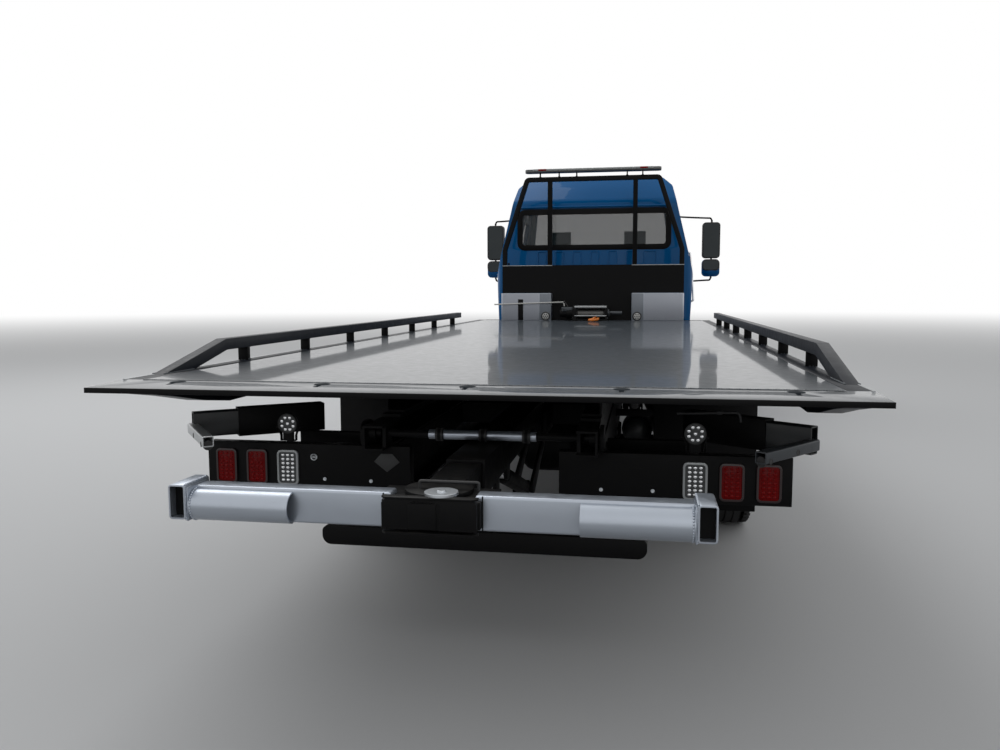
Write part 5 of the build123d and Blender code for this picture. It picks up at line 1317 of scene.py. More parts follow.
def buildHeadboardParts():
    steel, rings, lenses, dark, pale, rod, foldShades, cells = newMeshes(8)
    part = boardParts
    y = part["boxRear"]
    for side in sides:
        # darker strip on each box's inner side: painted shade where the sheet folds
        addBlock(foldShades, (side * (part["boxInner"] + 0.002), y - 0.0015, deckTop + 0.004),
                 (side * part["fold"], y + 0.004, part["boxHigh"] - 0.004), 0.0008)
        addBlock(steel, (side * (part["fold"] + 0.003), y - 0.005, deckTop + 0.004),
                 (side * (part["boxOuter"] - 0.014), y + 0.003, part["boxHigh"] - 0.004), 0.001)
        centre = (side * part["lightX"], y - 0.0015, part["lightZ"])
        ring, lens = part["ring"], part["lens"]
        addSpun(rings, centre, backward, (
            (0.0, 0.0001), (0.0, ring), (0.004, ring), (0.009, ring - 0.003), (0.011, ring - 0.008),
            (0.010, lens + 0.001), (0.005, lens), (0.005, 0.0001),
        ), 48, False)
        addSpun(lenses, centre, backward, (
            (0.004, 0.0001), (0.004, lens), (0.009, lens), (0.0115, lens - 0.006), (0.0125, 0.0001),
        ), 48, False)
        for height in (deckTop + 0.03, part["boxHigh"] - 0.03):
            for across in (0.60, 0.79, 0.97):
                addBall(steel, (side * across, y - 0.005, height), (0.005, 0.003, 0.005), 10, 6)
        # a ring of cells and one in its middle
        for index in range(part["cells"] + 1):
            turn = index * math.tau / part["cells"]
            out = part["cellRing"] if index < part["cells"] else 0.0
            addBall(cells, (
                side * part["lightX"] + math.cos(turn) * out, y - 0.0135,
                part["lightZ"] + math.sin(turn) * out,
            ), (0.0075, 0.002, 0.0075), 12, 6)
        # painted highlight: a pale strip where the sheet edge along the panel's top catches the light
        (inner, outer), high = part["panelX"], part["panelHigh"]
        addBlock(pale, (side * inner, part["panelRear"] - 0.0015, high - 0.0075),
                 (side * outer, part["panelRear"] + 0.004, high), 0.0008)
    addBlock(dark, (-0.818, y - 0.0085, deckTop + 0.002), (-0.760, y - 0.0005, 1.338), 0.002)
    addPipe(rod, (
        (-1.084, y - 0.030, 1.281), (-0.90, y - 0.030, 1.287), (-0.50, y - 0.030, 1.301),
        (-0.318, y - 0.030, 1.307), (-0.300, y - 0.030, 1.306), (-0.294, y - 0.030, 1.262),
    ), 0.0075)
    for x, z in ((-0.97, 1.285), (-0.46, 1.302)):
        addBlock(steel, (x - 0.005, y - 0.030, z - 0.006), (x + 0.005, y + 0.002, z + 0.006), 0.001)
    addBlock(
        dark, (-0.945, part["panelRear"] - 0.012, 1.722), (-0.929, part["panelRear"] + 0.02, 1.748), 0.002,
    )
    makePiece(steel, "boxDoors", "deck", "silver_paint", "boxSilver")
    makePiece(foldShades, "boxFoldShades", "deck", "silver_paint", "foldShadeSilver")
    makePiece(cells, "boxLightCells", "deck", "clear_lens", "lampBack", smooth=80)
    makePiece(rings, "boxLightRings", "deck", "clear_lens", "black_plastic")
    makePiece(lenses, "boxLights", "deck", "clear_lens", "whitePlastic")
    makePiece(dark, "boxTrim", "deck", "frame_paint")
    makePiece(pale, "panelEdgeHighlights", "deck", "silver_paint", "lampRim")
    makePiece(rod, "boxRod", "deck", "silver_paint", "whitePlastic")


buildHeadboardParts()


# Light bar: slim lens modules between two end caps, on five short feet
barParts = {
    "low": 2.742, "high": 2.780, "y": tailY + 6.905, "half": 0.750, "depth": 0.120, "modules": 12,
    "feet": (-0.579, -0.368, -0.173, 0.38, 0.548), "red": ((-0.603, -0.506), (0.515, 0.606)),
    "capLength": 0.085, "footLow": 2.6945,
}


def buildLightBar():
    base, ends, lenses, reds, feet = newMeshes(5)
    part = barParts
    low, high, y, half = part["low"], part["high"], part["y"], part["half"]
    addPanel(
        base, (0, y, low + 0.0005), rightward, forward, (2 * half - 0.004, part["depth"] - 0.004, 0.012),
        0.038, 0.002,
    )
    addPanel(
        ends, (0, y, low + 0.012), rightward, forward,
        (2 * half, part["depth"] - 0.008, high - low - 0.0135), 0.040, 0.008, steps=6,
    )
    first = -half + part["capLength"]
    width = -2 * first / part["modules"]
    for index in range(part["modules"]):
        start = first + index * width
        addBlock(
            lenses, (start + 0.001, y - 0.0595, low + 0.013),
            (start + width - 0.001, y + 0.0595, high - 0.0005), 0.006, 3,
        )
    for start, end in part["red"]:
        addBlock(reds, (start, y - 0.0605, low + 0.0155), (end, y + 0.0605, high - 0.0002), 0.006, 3)
    for x in part["feet"]:
        foot = part["footLow"]
        addBlock(feet, (x - 0.007, y - 0.040, foot), (x + 0.007, y - 0.020, low + 0.001), 0.001)
        addBlock(feet, (x - 0.012, y - 0.045, foot), (x + 0.012, y - 0.010, foot + 0.0035), 0.001)
    makePiece(base, "lightBarBase", "deck", "black_plastic", replaced=("light_bar",))
    makePiece(ends, "lightBarEnds", "deck", "light_bar_plastic")
    makePiece(lenses, "lightBarLenses", "deck", "light_bar_plastic", "barLens")
    makePiece(reds, "lightBarRed", "deck", "red_lens")
    makePiece(feet, "lightBarFeet", "deck", "frame_paint")


buildLightBar()


# Winch: rope wound on the drum, its run to the hook, top bar, motor and clutch lever
winchParts = {
    "y": tailY + 6.690, "z": deckTop + 0.078, "drumFrom": -0.138, "drumTo": 0.152, "ropeRadius": 0.0055,
    "coreRadius": 0.046, "wrapRadius": 0.0535, "hook": (0.055, tailY + 6.470, deckTop), "topBar": 1.267,
    "frameHalf": 0.187,
}


def buildWinchParts():
    wraps, rope, frameBars, motor, lever, hook, eye = newMeshes(7)
    part = winchParts
    y, z, thick, spot = part["y"], part["z"], part["ropeRadius"], part["hook"]
    outline = [(part["drumFrom"], part["coreRadius"])]
    for index in range(int((part["drumTo"] - part["drumFrom"]) / (2 * thick))):
        middle = part["drumFrom"] + thick * (2 * index + 1)
        for turn in (150, 90, 30):
            outline.append((
                middle + math.cos(math.radians(turn)) * thick,
                part["wrapRadius"] + math.sin(math.radians(turn)) * thick,
            ))
    outline.append((part["drumTo"], part["coreRadius"]))
    addSpun(wraps, (0, y, z), rightward, outline, 36)
    # the rope leaves the drum's underside and lies along the deck to the hook's eye
    x, hookY = spot[:2]
    run = (
        (x, y, z - 0.059), (x, y - 0.05, z - 0.064), (x, y - 0.10, deckTop + 0.012),
        (x, y - 0.135, deckTop + 0.020), (x, hookY + 0.052, deckTop + 0.034),
    )
    addPipe(rope, run, thick, resolution=14)
    addRod(eye, *placed(spot, (0, 0.085, 0.026), (0, 0.050, 0.036)), 0.0095, 16, edge=0.0015)
    addPipe(eye, placed(
        spot, (0, 0.055, 0.034), (-0.012, 0.040, 0.038), (0, 0.026, 0.042), (0.012, 0.040, 0.038),
    ), 0.005, 3, 4, 8, True)
    # hook: an open claw with its latch, lying on its side
    addPipe(hook, placed(
        spot, (0, 0.036, 0.034), (-0.006, 0.016, 0.024), (-0.046, -0.008, 0.017), (-0.058, -0.050, 0.015),
        (-0.010, -0.082, 0.015), (0.040, -0.066, 0.020), (0.044, -0.036, 0.030),
    ), 0.0135, 4, 6, 10)
    addRod(hook, *placed(spot, (0, 0.026, 0.029), (0, 0.052, 0.039)), 0.015, 20, 0.009, 0.002)
    addRod(hook, *placed(spot, (0.044, -0.040, 0.029), (0.040, -0.020, 0.040)), 0.0135, 16, 0.004)
    # the safety latch stands open
    addPlate(hook, placed(
        spot, (-0.012, -0.006, 0.020), (0.012, -0.006, 0.020), (0.024, -0.020, 0.052),
        (0.016, -0.022, 0.056), (-0.006, -0.010, 0.032),
    ), (0.001, -0.005, 0.001), 0.001)
    # bars across the frame, above and in front of the drum
    half, high = part["frameHalf"], part["topBar"]
    addRod(frameBars, (-half + 0.02, y - 0.085, high - 0.012), (half - 0.006, y - 0.085, high - 0.012), 0.012,
           28, edge=0.002)
    addRod(frameBars, (-half + 0.02, y - 0.098, z - 0.022), (half - 0.006, y - 0.098, z - 0.022), 0.008, 20)
    addPlate(frameBars, (
        (-half + 0.03, y - 0.094, high - 0.004), (half - 0.012, y - 0.094, high - 0.004),
        (half - 0.012, y + 0.060, high - 0.002), (-half + 0.03, y + 0.060, high - 0.002),
    ), (0, 0, 0.005), 0.002)
    # bolts, motor on the right and gear case on the left
    for edge in (-half + 0.004, half - 0.004):
        for along in (-0.07, 0.07):
            addBolt(motor, (
                edge + math.copysign(0.003, edge), y + along, deckTop + 0.030,
            ), (edge, 0, 0), 0.014, 0.009)
    addRod(motor, (half - 0.002, y, z + 0.008), (half + 0.020, y, z + 0.008), 0.045, 28, edge=0.004)
    addRod(motor, (half + 0.018, y, z + 0.008), (half + 0.158, y, z + 0.008), 0.020, 24, edge=0.002)
    addBlock(motor, (-0.314, y - 0.045, z + 0.022), (-0.185, y + 0.045, z + 0.072), 0.008)
    for along in (-0.022, 0.022):
        addRod(
            motor, (-0.300, y - 0.045, z + 0.046 + along * 0.4),
            (-0.300, y - 0.062, z + 0.046 + along * 0.4), 0.009, 6,
        )
    addPipe(lever, (
        (-0.245, y - 0.02, z + 0.070), (-0.258, y - 0.02, z + 0.105), (-0.285, y - 0.02, z + 0.126),
    ), 0.006)
    addBall(lever, (-0.287, y - 0.02, z + 0.128), (0.012, 0.012, 0.012), 14, 10)
    makePiece(wraps, "winchWraps", "winch_drum", "cast_metal", "wireRope", smooth=80)
    makePiece(rope, "winchRope", "deck", "cast_metal", "wireRope", smooth=80)
    makePiece(frameBars, "winchBars", "deck", "silver_paint", "lampRim")
    makePiece(motor, "winchMotor", "deck", "frame_paint", "gunmetal")
    makePiece(lever, "winchLever", "deck", "frame_paint", "black_plastic")
    makePiece(hook, "winchClaw", "deck", "cast_metal", "hookPaint", smooth=60, replaced=("winch_hook",))
    makePiece(eye, "winchThimble", "deck", "cast_metal", "boltSteel")


buildWinchParts()
print("stage: deck, headboard and winch made")


# Back of the cab: pressed ribs, window seal and gutter
cabBackY = tailY + 7.100
cabParts = {
    "ribs": (
        (-0.632, -0.539), (-0.430, -0.337), (-0.228, -0.135), (-0.026, 0.067), (0.176, 0.269),
        (0.378, 0.471), (0.574, 0.707),
    ),
    "ribLow": 1.742,
    "ribHigh": 1.879,
    "sealLow": 1.895,
    "sealHigh": 2.360,
    "sealHalf": 0.872,
    "gutterLow": 2.366,
}


def buildCabBack():
    ribs, seal, gutter = newMeshes(3)
    part = cabParts
    y = cabBackY
    for low, high in part["ribs"]:
        addPipe(ribs, (
            (low, y, part["ribLow"]), (low, y, part["ribHigh"] - 0.03), (low, y, part["ribHigh"]),
            (low + 0.03, y, part["ribHigh"]), (high - 0.03, y, part["ribHigh"]), (high, y, part["ribHigh"]),
            (high, y, part["ribHigh"] - 0.03), (high, y, part["ribLow"]),
        ), 0.0075)
    bmesh.ops.scale(ribs, vec=(1, 0.9, 1), verts=ribs.verts, space=Matrix.Translation((0, -y, 0)))
    addPanel(
        seal, (0, y + 0.006, (part["sealLow"] + part["sealHigh"]) / 2), rightward, upward,
        (2 * part["sealHalf"], part["sealHigh"] - part["sealLow"], 0.011), 0.085, 0.004, 0.062,
    )
    addPipe(gutter, (
        (-0.90, y + 0.020, 2.345), (-0.845, y + 0.004, 2.382), (-0.80, y - 0.001, 2.384),
        (0.80, y - 0.001, 2.384), (0.845, y + 0.004, 2.382), (0.90, y + 0.020, 2.345),
    ), 0.011)
    addBlock(
        seal, (-0.83, y - 0.002, part["gutterLow"] - 0.004), (0.83, y + 0.01, part["gutterLow"] + 0.002),
        0.001,
    )
    makePiece(ribs, "cabBackRibs", "chassis", "cab_paint", smooth=80)
    makePiece(seal, "rearWindowSeal", "chassis", "black_plastic", "frame_paint")
    makePiece(gutter, "cabGutter", "chassis", "cab_paint", smooth=80)


buildCabBack()


# Mirrors: glass in both heads, bezels, and painted shells on the lower ones
mirrorParts = {
    "low": 1.860, "high": 2.330, "inner": 1.330, "outer": 1.560, "rear": cabBackY + 1.770,
    "front": cabBackY + 1.880, "lowerLow": 1.620, "lowerHigh": 1.848, "post": 1.450,
}


def buildMirrors():
    part = mirrorParts
    for side in sides:
        shell, glass, bezel, lower = newMeshes(4)
        x = side * (part["inner"] + part["outer"]) / 2
        width, depth = part["outer"] - part["inner"], part["front"] - part["rear"]
        for low, high, corner, body in (
            (part["low"], part["high"], 0.045, shell), (part["lowerLow"], part["lowerHigh"], 0.055, lower),
        ):
            middle = (low + high) / 2
            addPanel(
                body, (x, part["front"] - 0.001, middle), rightward, upward,
                (width, high - low, depth - 0.032), corner, 0.006, steps=6,
            )
            # the lower head's bezel leaves its painted bowl in view underneath
            bezelLow = low + (0.0 if body is shell else 0.075)
            middle = (bezelLow + high) / 2
            addPanel(
                bezel, (x, part["front"] - 0.030, middle), rightward, upward,
                (width - 0.004, high - bezelLow - 0.004, depth - 0.031), corner, 0.008, 0.016, 0.006,
                steps=6,
            )
            addPanel(
                glass, (x, part["rear"] + 0.0075, middle), rightward, upward,
                (width - 0.038, high - bezelLow - 0.038, 0.003), corner - 0.018, steps=6,
            )
            if body is lower:
                addBall(
                    lower, (x, part["rear"] + 0.040, low + 0.075), (width / 2 - 0.006, 0.036, 0.070), 28,
                    16,
                )
        name = sideName[side]
        door = "door_" + name
        post = side * part["post"]
        y = (part["rear"] + part["front"]) / 2
        addPipe(shell, (
            (post, y, 2.318), (post, y, 2.386), (post - side * 0.06, y, 2.386),
            (side * 1.08, y - 0.22, 2.384), (side * 0.99, cabBackY + 1.30, 2.365),
            (side * 0.905, cabBackY + 1.29, 2.335),
        ), 0.011)
        addPipe(shell, (
            (post, y, 1.632), (post, y, 1.572), (post - side * 0.06, y, 1.572),
            (side * 1.20, y + 0.01, 1.560), (side * 1.10, y + 0.02, 1.556),
        ), 0.011)
        addRod(shell, (post, y, 1.60), (post, y, 2.36), 0.012, 20)
        addRod(shell, (side * 1.122, y + 0.02, 1.557), (side * 1.085, y + 0.02, 1.557), 0.03, 20, edge=0.003)
        makePiece(
            shell, name + "MirrorShell", door, "black_plastic", "frame_paint", replaced=("mirror_" + name,),
        )
        makePiece(bezel, name + "MirrorBezel", door, "black_plastic")
        makePiece(lower, name + "MirrorLowerShell", door, "cab_paint")
        makePiece(glass, name + "MirrorGlass", door, "black_plastic", "mirrorGlass")


buildMirrors()


# Door handles, grab handles, wipers and marker lamps on the roof
trimParts = {
    "handleY": cabBackY + 0.970, "handleZ": 1.53, "grabY": cabBackY + 0.760, "roofY": 3.16, "roofHigh": 2.758,
    "roofLamps": (-0.62, -0.16, 0.0, 0.16, 0.62), "roofFall": 0.045,
}


def buildCabTrim():
    part = trimParts
    markers, grabs, wipers = newMeshes(3)
    for side in sides:
        mesh = bmesh.new()
        y, z = part["handleY"], part["handleZ"]
        addPanel(
            mesh, (side * 1.112, y, z), (0, side, 0), upward, (0.19, 0.07, 0.012), 0.02, 0.003, 0.01, 0.006,
        )
        addPanel(
            mesh, (side * 1.122, y, z + 0.005), (0, side, 0), upward, (0.16, 0.026, 0.016), 0.010, 0.004,
        )
        addRod(mesh, (side * 1.115, y + 0.12, z), (side * 1.126, y + 0.12, z), 0.012, 20, edge=0.002)
        makePiece(mesh, sideName[side] + "DoorHandle", "door_" + sideName[side], "black_plastic")
        # grab handle behind the door
        y = part["grabY"]
        addPipe(grabs, (
            (side * 1.09, y, 1.30), (side * 1.165, y, 1.30), (side * 1.170, y, 1.34),
            (side * 1.150, y, 1.60), (side * 1.125, y, 1.86), (side * 1.115, y, 1.90),
            (side * 1.02, y, 1.90),
        ), 0.012)
        addRod(wipers, (side * 0.15, 4.150, 1.668), (side * 0.18, 4.150, 1.690), 0.014, 16)
        addPipe(wipers, (
            (side * 0.18, 4.142, 1.690), (side * 0.30, 4.125, 1.765), (side * 0.52, 4.062, 1.855),
        ), 0.0065)
        addPipe(wipers, (
            (side * 0.28, 4.122, 1.765), (side * 0.52, 4.052, 1.868), (side * 0.76, 3.985, 1.955),
        ), 0.0055)
    # the roof falls away to its sides
    for x in part["roofLamps"]:
        place = (x, part["roofY"], part["roofHigh"] - abs(x) * part["roofFall"] - 0.025)
        addPanel(markers, place, rightward, forward, (0.055, 0.12, 0.045), 0.022, 0.014)
    makePiece(grabs, "cabGrabHandles", "chassis", "rod_chrome", smooth=80)
    makePiece(markers, "roofMarkers", "chassis", "clear_lens", "amber_lens")
    makePiece(wipers, "wipers", "chassis", "black_plastic")


buildCabTrim()
print("stage: cab's back, mirrors and trim made")


def faceFinder(*names):
    # finds where a ray first meets the named CAD nodes
    verts, faces = [], []
    for name in names:
        base = len(verts)
        data = nodes[name].data
        verts += [tuple(nodes[name].matrix_world @ vert.co) for vert in data.vertices]
        faces += [tuple(base + index for index in face.vertices) for face in data.polygons]
    tree = BVHTree.FromPolygons(verts, faces)
    return lambda start, direction: tree.ray_cast(Vector(start), Vector(direction))[:2]


# Wheels: tyres with grooves and shoulder lugs, wheel nuts, hub caps and valves
frontAxleY, rearAxleY = tailY + 9.184, tailY + 2.724
wheelParts = {
    "radius": 0.465, "half": 0.1275, "bead": 0.2925, "lugs": 52, "nuts": 10, "nutRing": 0.1425, "steps": 80,
    "grooves": (-0.066, -0.023, 0.023, 0.066), "grooveHalf": 0.0045, "grooveDeep": 0.011,
}


def tyreOutline():
    part = wheelParts
    radius, half = part["radius"] - 0.0008, part["half"] - 0.0004
    side = [
        (half - 0.029, part["bead"]), (half - 0.028, part["bead"] + 0.012),
        (half - 0.016, part["bead"] + 0.024), (half - 0.012, part["bead"] + 0.027),
        (half - 0.011, part["bead"] + 0.031), (half - 0.008, part["bead"] + 0.034), (half - 0.002, 0.352),
        (half, 0.376), (half - 0.001, 0.398), (half - 0.003, 0.404), (half - 0.0015, 0.407),
        (half - 0.006, 0.428), (half - 0.012, 0.446), (half - 0.019, 0.458), (half - 0.026, radius - 0.002),
    ]
    tread = []
    for middle in part["grooves"]:
        edge, deep = part["grooveHalf"], part["grooveDeep"]
        crown = 0.0035 * (middle / half) ** 2
        tread += [
            (middle - edge, radius - crown), (middle - edge * 0.7, radius - deep),
            (middle + edge * 0.7, radius - deep), (middle + edge, radius - crown),
        ]
    return side[::-1] + [(-along, out) for along, out in tread] + [(-along, out) for along, out in side]


def addTyre(mesh, x, y):
    part = wheelParts
    centre = Vector((x, y, part["radius"]))
    outline = tyreOutline()
    addSpun(mesh, centre, rightward, outline, part["steps"], False)
    for index in range(part["lugs"]):
        turn = Matrix.Rotation((index + 0.5) * math.tau / part["lugs"], 4, "X")
        for side in sides:
            lug = bmesh.new()
            addBlock(lug, (side * 0.084, -0.0175, 0.447), (side * 0.1245, 0.0175, 0.4632), 0.003, 1)
            for vert in lug.verts:
                if abs(vert.co.x) > 0.11 and vert.co.z > 0.455:
                    vert.co.x *= 0.93
                    vert.co.z -= 0.003
            bmesh.ops.transform(lug, matrix=Matrix.Translation(centre) @ turn, verts=lug.verts)
            joinMesh(mesh, lug)


def addWheelFittings(mesh, dark, rim, side, y, capReach):
    part = wheelParts
    out = Vector((side, 0, 0))
    found, _ = faceFinder(rim)((side * 1.4, y + 0.108, part["radius"] + 0.02), -out)
    centre = Vector((found.x, y, part["radius"]))
    for index in range(part["nuts"]):
        turn = (index + 0.5) * math.tau / part["nuts"]
        place = centre + Vector((0, math.cos(turn), math.sin(turn))) * part["nutRing"]
        addRod(mesh, place, place + out * 0.006, 0.021, 20, edge=0.001)
        addRod(mesh, place + out * 0.005, place + out * 0.026, 0.0165, 6)
        addRod(mesh, place + out * 0.024, place + out * 0.036, 0.010, 16, edge=0.001)
    addSpun(dark, centre, out, (
        (0.0, 0.0001), (0.0, 0.108), (0.012, 0.108), (0.014, 0.105), (0.016, 0.096),
        (capReach - 0.022, 0.082), (capReach - 0.008, 0.076), (capReach - 0.002, 0.062), (capReach, 0.040),
        (capReach, 0.0001),
    ), 48, False)
    for index in range(8):
        turn = index * math.tau / 8
        addBolt(
            dark, centre + Vector((0, math.cos(turn), math.sin(turn))) * 0.0985 + out * 0.014, out, 0.010,
            0.007,
        )
    addPipe(dark, [
        centre + Vector((side * along, 0, height))
        for along, height in ((-0.030, 0.275), (0.0, 0.262), (0.03, 0.250))
    ], 0.0045)


wheelSets = (
    {
        "end": "Front", "tread": "FrontTread", "body": "front_wheel_", "tyre": "front_tyre_",
        "rim": "front_rim_", "y": frontAxleY, "places": (0.970,), "capReach": 0.050,
    },
    {
        "end": "Rear", "tread": "RearTreads", "body": "rear_wheels_", "tyre": "rear_tyres_",
        "rim": "rear_rims_", "y": rearAxleY, "places": (1.0875, 0.7875), "capReach": 0.110,
    },
)


def buildWheels():
    for side in sides:
        name = sideName[side]
        for wheel in wheelSets:
            tyre, nuts, hub = newMeshes(3)
            for x in wheel["places"]:
                addTyre(tyre, side * x, wheel["y"])
            addWheelFittings(nuts, hub, wheel["rim"] + name, side, wheel["y"], wheel["capReach"])
            body = wheel["body"] + name
            makePiece(tyre, name + wheel["tread"], body, "tyre", smooth=40, replaced=(wheel["tyre"] + name,))
            makePiece(nuts, name + wheel["end"] + "Nuts", body, "rim_steel", "boltSteel")
            makePiece(hub, name + wheel["end"] + "Hub", body, "rim_steel", "cast_metal")


buildWheels()
print("stage: wheels made")


# Under the truck: spring leaves and bolts, brake chambers, shock absorbers, tanks and muffler
springPacks = ((frontAxleY, 0.560, 0.4623, 0.545), (rearAxleY, 0.640, 0.5253, 0.560))
chassisParts = {
    "springX": 0.358, "springWidth": 0.070, "leaves": 5, "leafPitch": 0.0088, "leafThick": 0.0078,
    "reservoir": ((-0.98, 0.62, 0.45), (-0.50, 1.14, 0.86)), "airTankX": 0.670, "airTankZ": (0.560, 0.740),
    "airTankY": (0.66, 1.40), "mufflerX": 0.585, "mufflerY": (-0.85, -0.15), "flapY": rearAxleY - 0.555,
    "flapBarX": (0.430, 1.180), "flapBarZ": (0.72, 0.76), "flapX": (0.640, 1.200), "flapZ": (0.200, 0.905),
    "brakePlace": (0.548, rearAxleY - 0.16, 0.610), "shockX": 0.462, "shockFoot": 0.488, "shockTop": 0.72,
    "shockLean": -0.16,
}


def addLeaf(mesh, x, y, half, low, eye, level, share):
    # one leaf: a strip bent to the pack's bow, thickened upwards
    part = bmesh.new()
    bmesh.ops.create_grid(part, x_segments=1, y_segments=28, size=0.5)
    for vert in part.verts:
        along = vert.co.y * 2 * share
        vert.co = (x + vert.co.x * 0.0695, y + along * half, low + (eye - low) * along * along + level)
    made = bmesh.ops.extrude_face_region(part, geom=part.faces[:], use_keep_orig=True)
    moved = [item for item in made["geom"] if isinstance(item, bmesh.types.BMVert)]
    bmesh.ops.translate(part, vec=(0, 0, chassisParts["leafThick"]), verts=moved)
    joinMesh(mesh, part)


def buildUnderParts():
    part = chassisParts
    leaves, clamps, flaps, chambers, shocks, tanks, straps, muffler = newMeshes(8)
    for side in sides:
        x = side * (part["springX"] + part["springWidth"] / 2)
        for y, half, low, eye in springPacks:
            for index in range(part["leaves"]):
                share = 1.0 if index == part["leaves"] - 1 else 0.46 + 0.12 * index
                addLeaf(leaves, x, y, half, low, eye, index * part["leafPitch"], share)
            for end in sides:
                eyeY = y + end * half
                addRod(
                    leaves, (x - 0.035, eyeY, eye + 0.012), (x + 0.035, eyeY, eye + 0.012), 0.030, 28,
                    edge=0.002,
                )
                addRod(
                    clamps, (x - 0.052, eyeY, eye + 0.012), (x + 0.052, eyeY, eye + 0.012), 0.013, 20,
                    edge=0.002,
                )
                for edge in sides:
                    addPanel(
                        clamps, (x + edge * 0.037, eyeY, (eye + 0.595) / 2 + 0.004), (0, edge, 0), upward,
                        (0.075, 0.63 - eye, 0.008), 0.02, 0.002,
                    )
                    addPipe(clamps, (
                        (x + edge * 0.045, y + end * 0.075, low - 0.055),
                        (x + edge * 0.045, y + end * 0.075, low + 0.052),
                        (x + edge * 0.045, y + end * 0.075, low + 0.060), (x, y + end * 0.075, low + 0.060),
                    ), 0.009)
                    addBolt(clamps, (x + edge * 0.045, y + end * 0.075, low - 0.050), downward, 0.020, 0.016)
                addBlock(
                    clamps, (x - 0.056, y + end * 0.075 - 0.02, low - 0.052),
                    (x + 0.056, y + end * 0.075 + 0.02, low - 0.040), 0.003,
                )
            addBlock(clamps, (x - 0.042, y - 0.10, low + 0.046), (x + 0.042, y + 0.10, low + 0.062), 0.004)
        # mud flap on its bar, behind the twin tyres
        y, (inner, outer), (low, high) = part["flapY"], part["flapBarX"], part["flapBarZ"]
        addBlock(clamps, (side * inner, y, low), (side * outer, y + 0.012, high), 0.003)
        (inner, outer), (low, high) = part["flapX"], part["flapZ"]
        addBlock(flaps, (side * inner, y - 0.009, low), (side * outer, y + 0.0005, high), 0.004)
        # spring brakes behind the rear axle, with their push rods
        x, y, z = part["brakePlace"]
        place = Vector((side * x, y, z))
        addSpun(chambers, place, backward, (
            (0.0, 0.0001), (0.0, 0.060), (0.010, 0.074), (0.062, 0.080), (0.064, 0.088), (0.080, 0.088),
            (0.082, 0.080), (0.140, 0.082), (0.142, 0.089), (0.156, 0.089), (0.158, 0.080), (0.214, 0.074),
            (0.226, 0.055), (0.228, 0.0001),
        ), 40, False)
        addRod(chambers, place - forward * 0.002, (place.x, rearAxleY, 0.505), 0.010, 16)
        addBlock(
            chambers, (place.x - 0.03, rearAxleY - 0.168, 0.46), (place.x + 0.03, rearAxleY - 0.156, 0.66),
            0.004,
        )
        addBlock(
            chambers, (place.x - 0.03, rearAxleY - 0.160, 0.46), (place.x + 0.03, rearAxleY, 0.475), 0.004,
        )
        # front shock absorbers, leaning to the rear at the top
        x, y, lean = side * part["shockX"], frontAxleY, part["shockLean"]
        foot, top = part["shockFoot"], part["shockTop"]
        middle = (foot + top) / 2
        addRod(shocks, (x, y + lean, foot), (x, y + lean * 1.8, middle + 0.02), 0.033, 28, edge=0.003)
        addRod(shocks, (x, y + lean * 1.7, middle), (x, y + lean * 2.5, top), 0.024, 28, edge=0.003)
        for place in ((x, y + lean, foot), (x, y + lean * 2.5, top)):
            addRod(shocks, (x - 0.025, *place[1:]), (x + 0.025, *place[1:]), 0.022, 20, edge=0.002)
            addRod(shocks, (side * 0.43, *place[1:]), place, 0.010, 16)
    low, high = part["reservoir"]
    addBlock(tanks, low, high, 0.022, 4)
    for y in (low[1] + 0.12, high[1] - 0.12):
        addBlock(
            straps, (low[0] - 0.003, y - 0.02, low[2] - 0.003),
            (high[0] + 0.003, y + 0.02, high[2] + 0.003), 0.012, 3,
        )
        addBlock(straps, (high[0] - 0.01, y - 0.03, 0.62), (-0.431, y + 0.03, 0.78), 0.004)
    addRod(
        straps, (low[0] + 0.14, low[1] + 0.26, high[2] - 0.002),
        (low[0] + 0.14, low[1] + 0.26, high[2] + 0.045), 0.042, 28, edge=0.004,
    )
    addRod(
        straps, (low[0] - 0.001, low[1] + 0.26, 0.66), (low[0] - 0.008, low[1] + 0.26, 0.66), 0.032, 28,
        edge=0.002,
    )
    start, end = part["airTankY"]
    x = part["airTankX"]
    for z in part["airTankZ"]:
        addSpun(tanks, (x, start, z), forward, (
            (0.0, 0.0001), (0.010, 0.050), (0.032, 0.078), (0.052, 0.085), (end - start - 0.052, 0.085),
            (end - start - 0.032, 0.078), (end - start - 0.010, 0.050), (end - start, 0.0001)), 40, False)
        for y in (start + 0.16, end - 0.16):
            addSpun(straps, (x, y, z), forward, (
                (-0.016, 0.0845), (-0.016, 0.0875), (0.016, 0.0875), (0.016, 0.0845),
            ), 40)
            addBlock(straps, (0.431, y - 0.016, z - 0.012), (x - 0.080, y + 0.016, z + 0.012), 0.003)
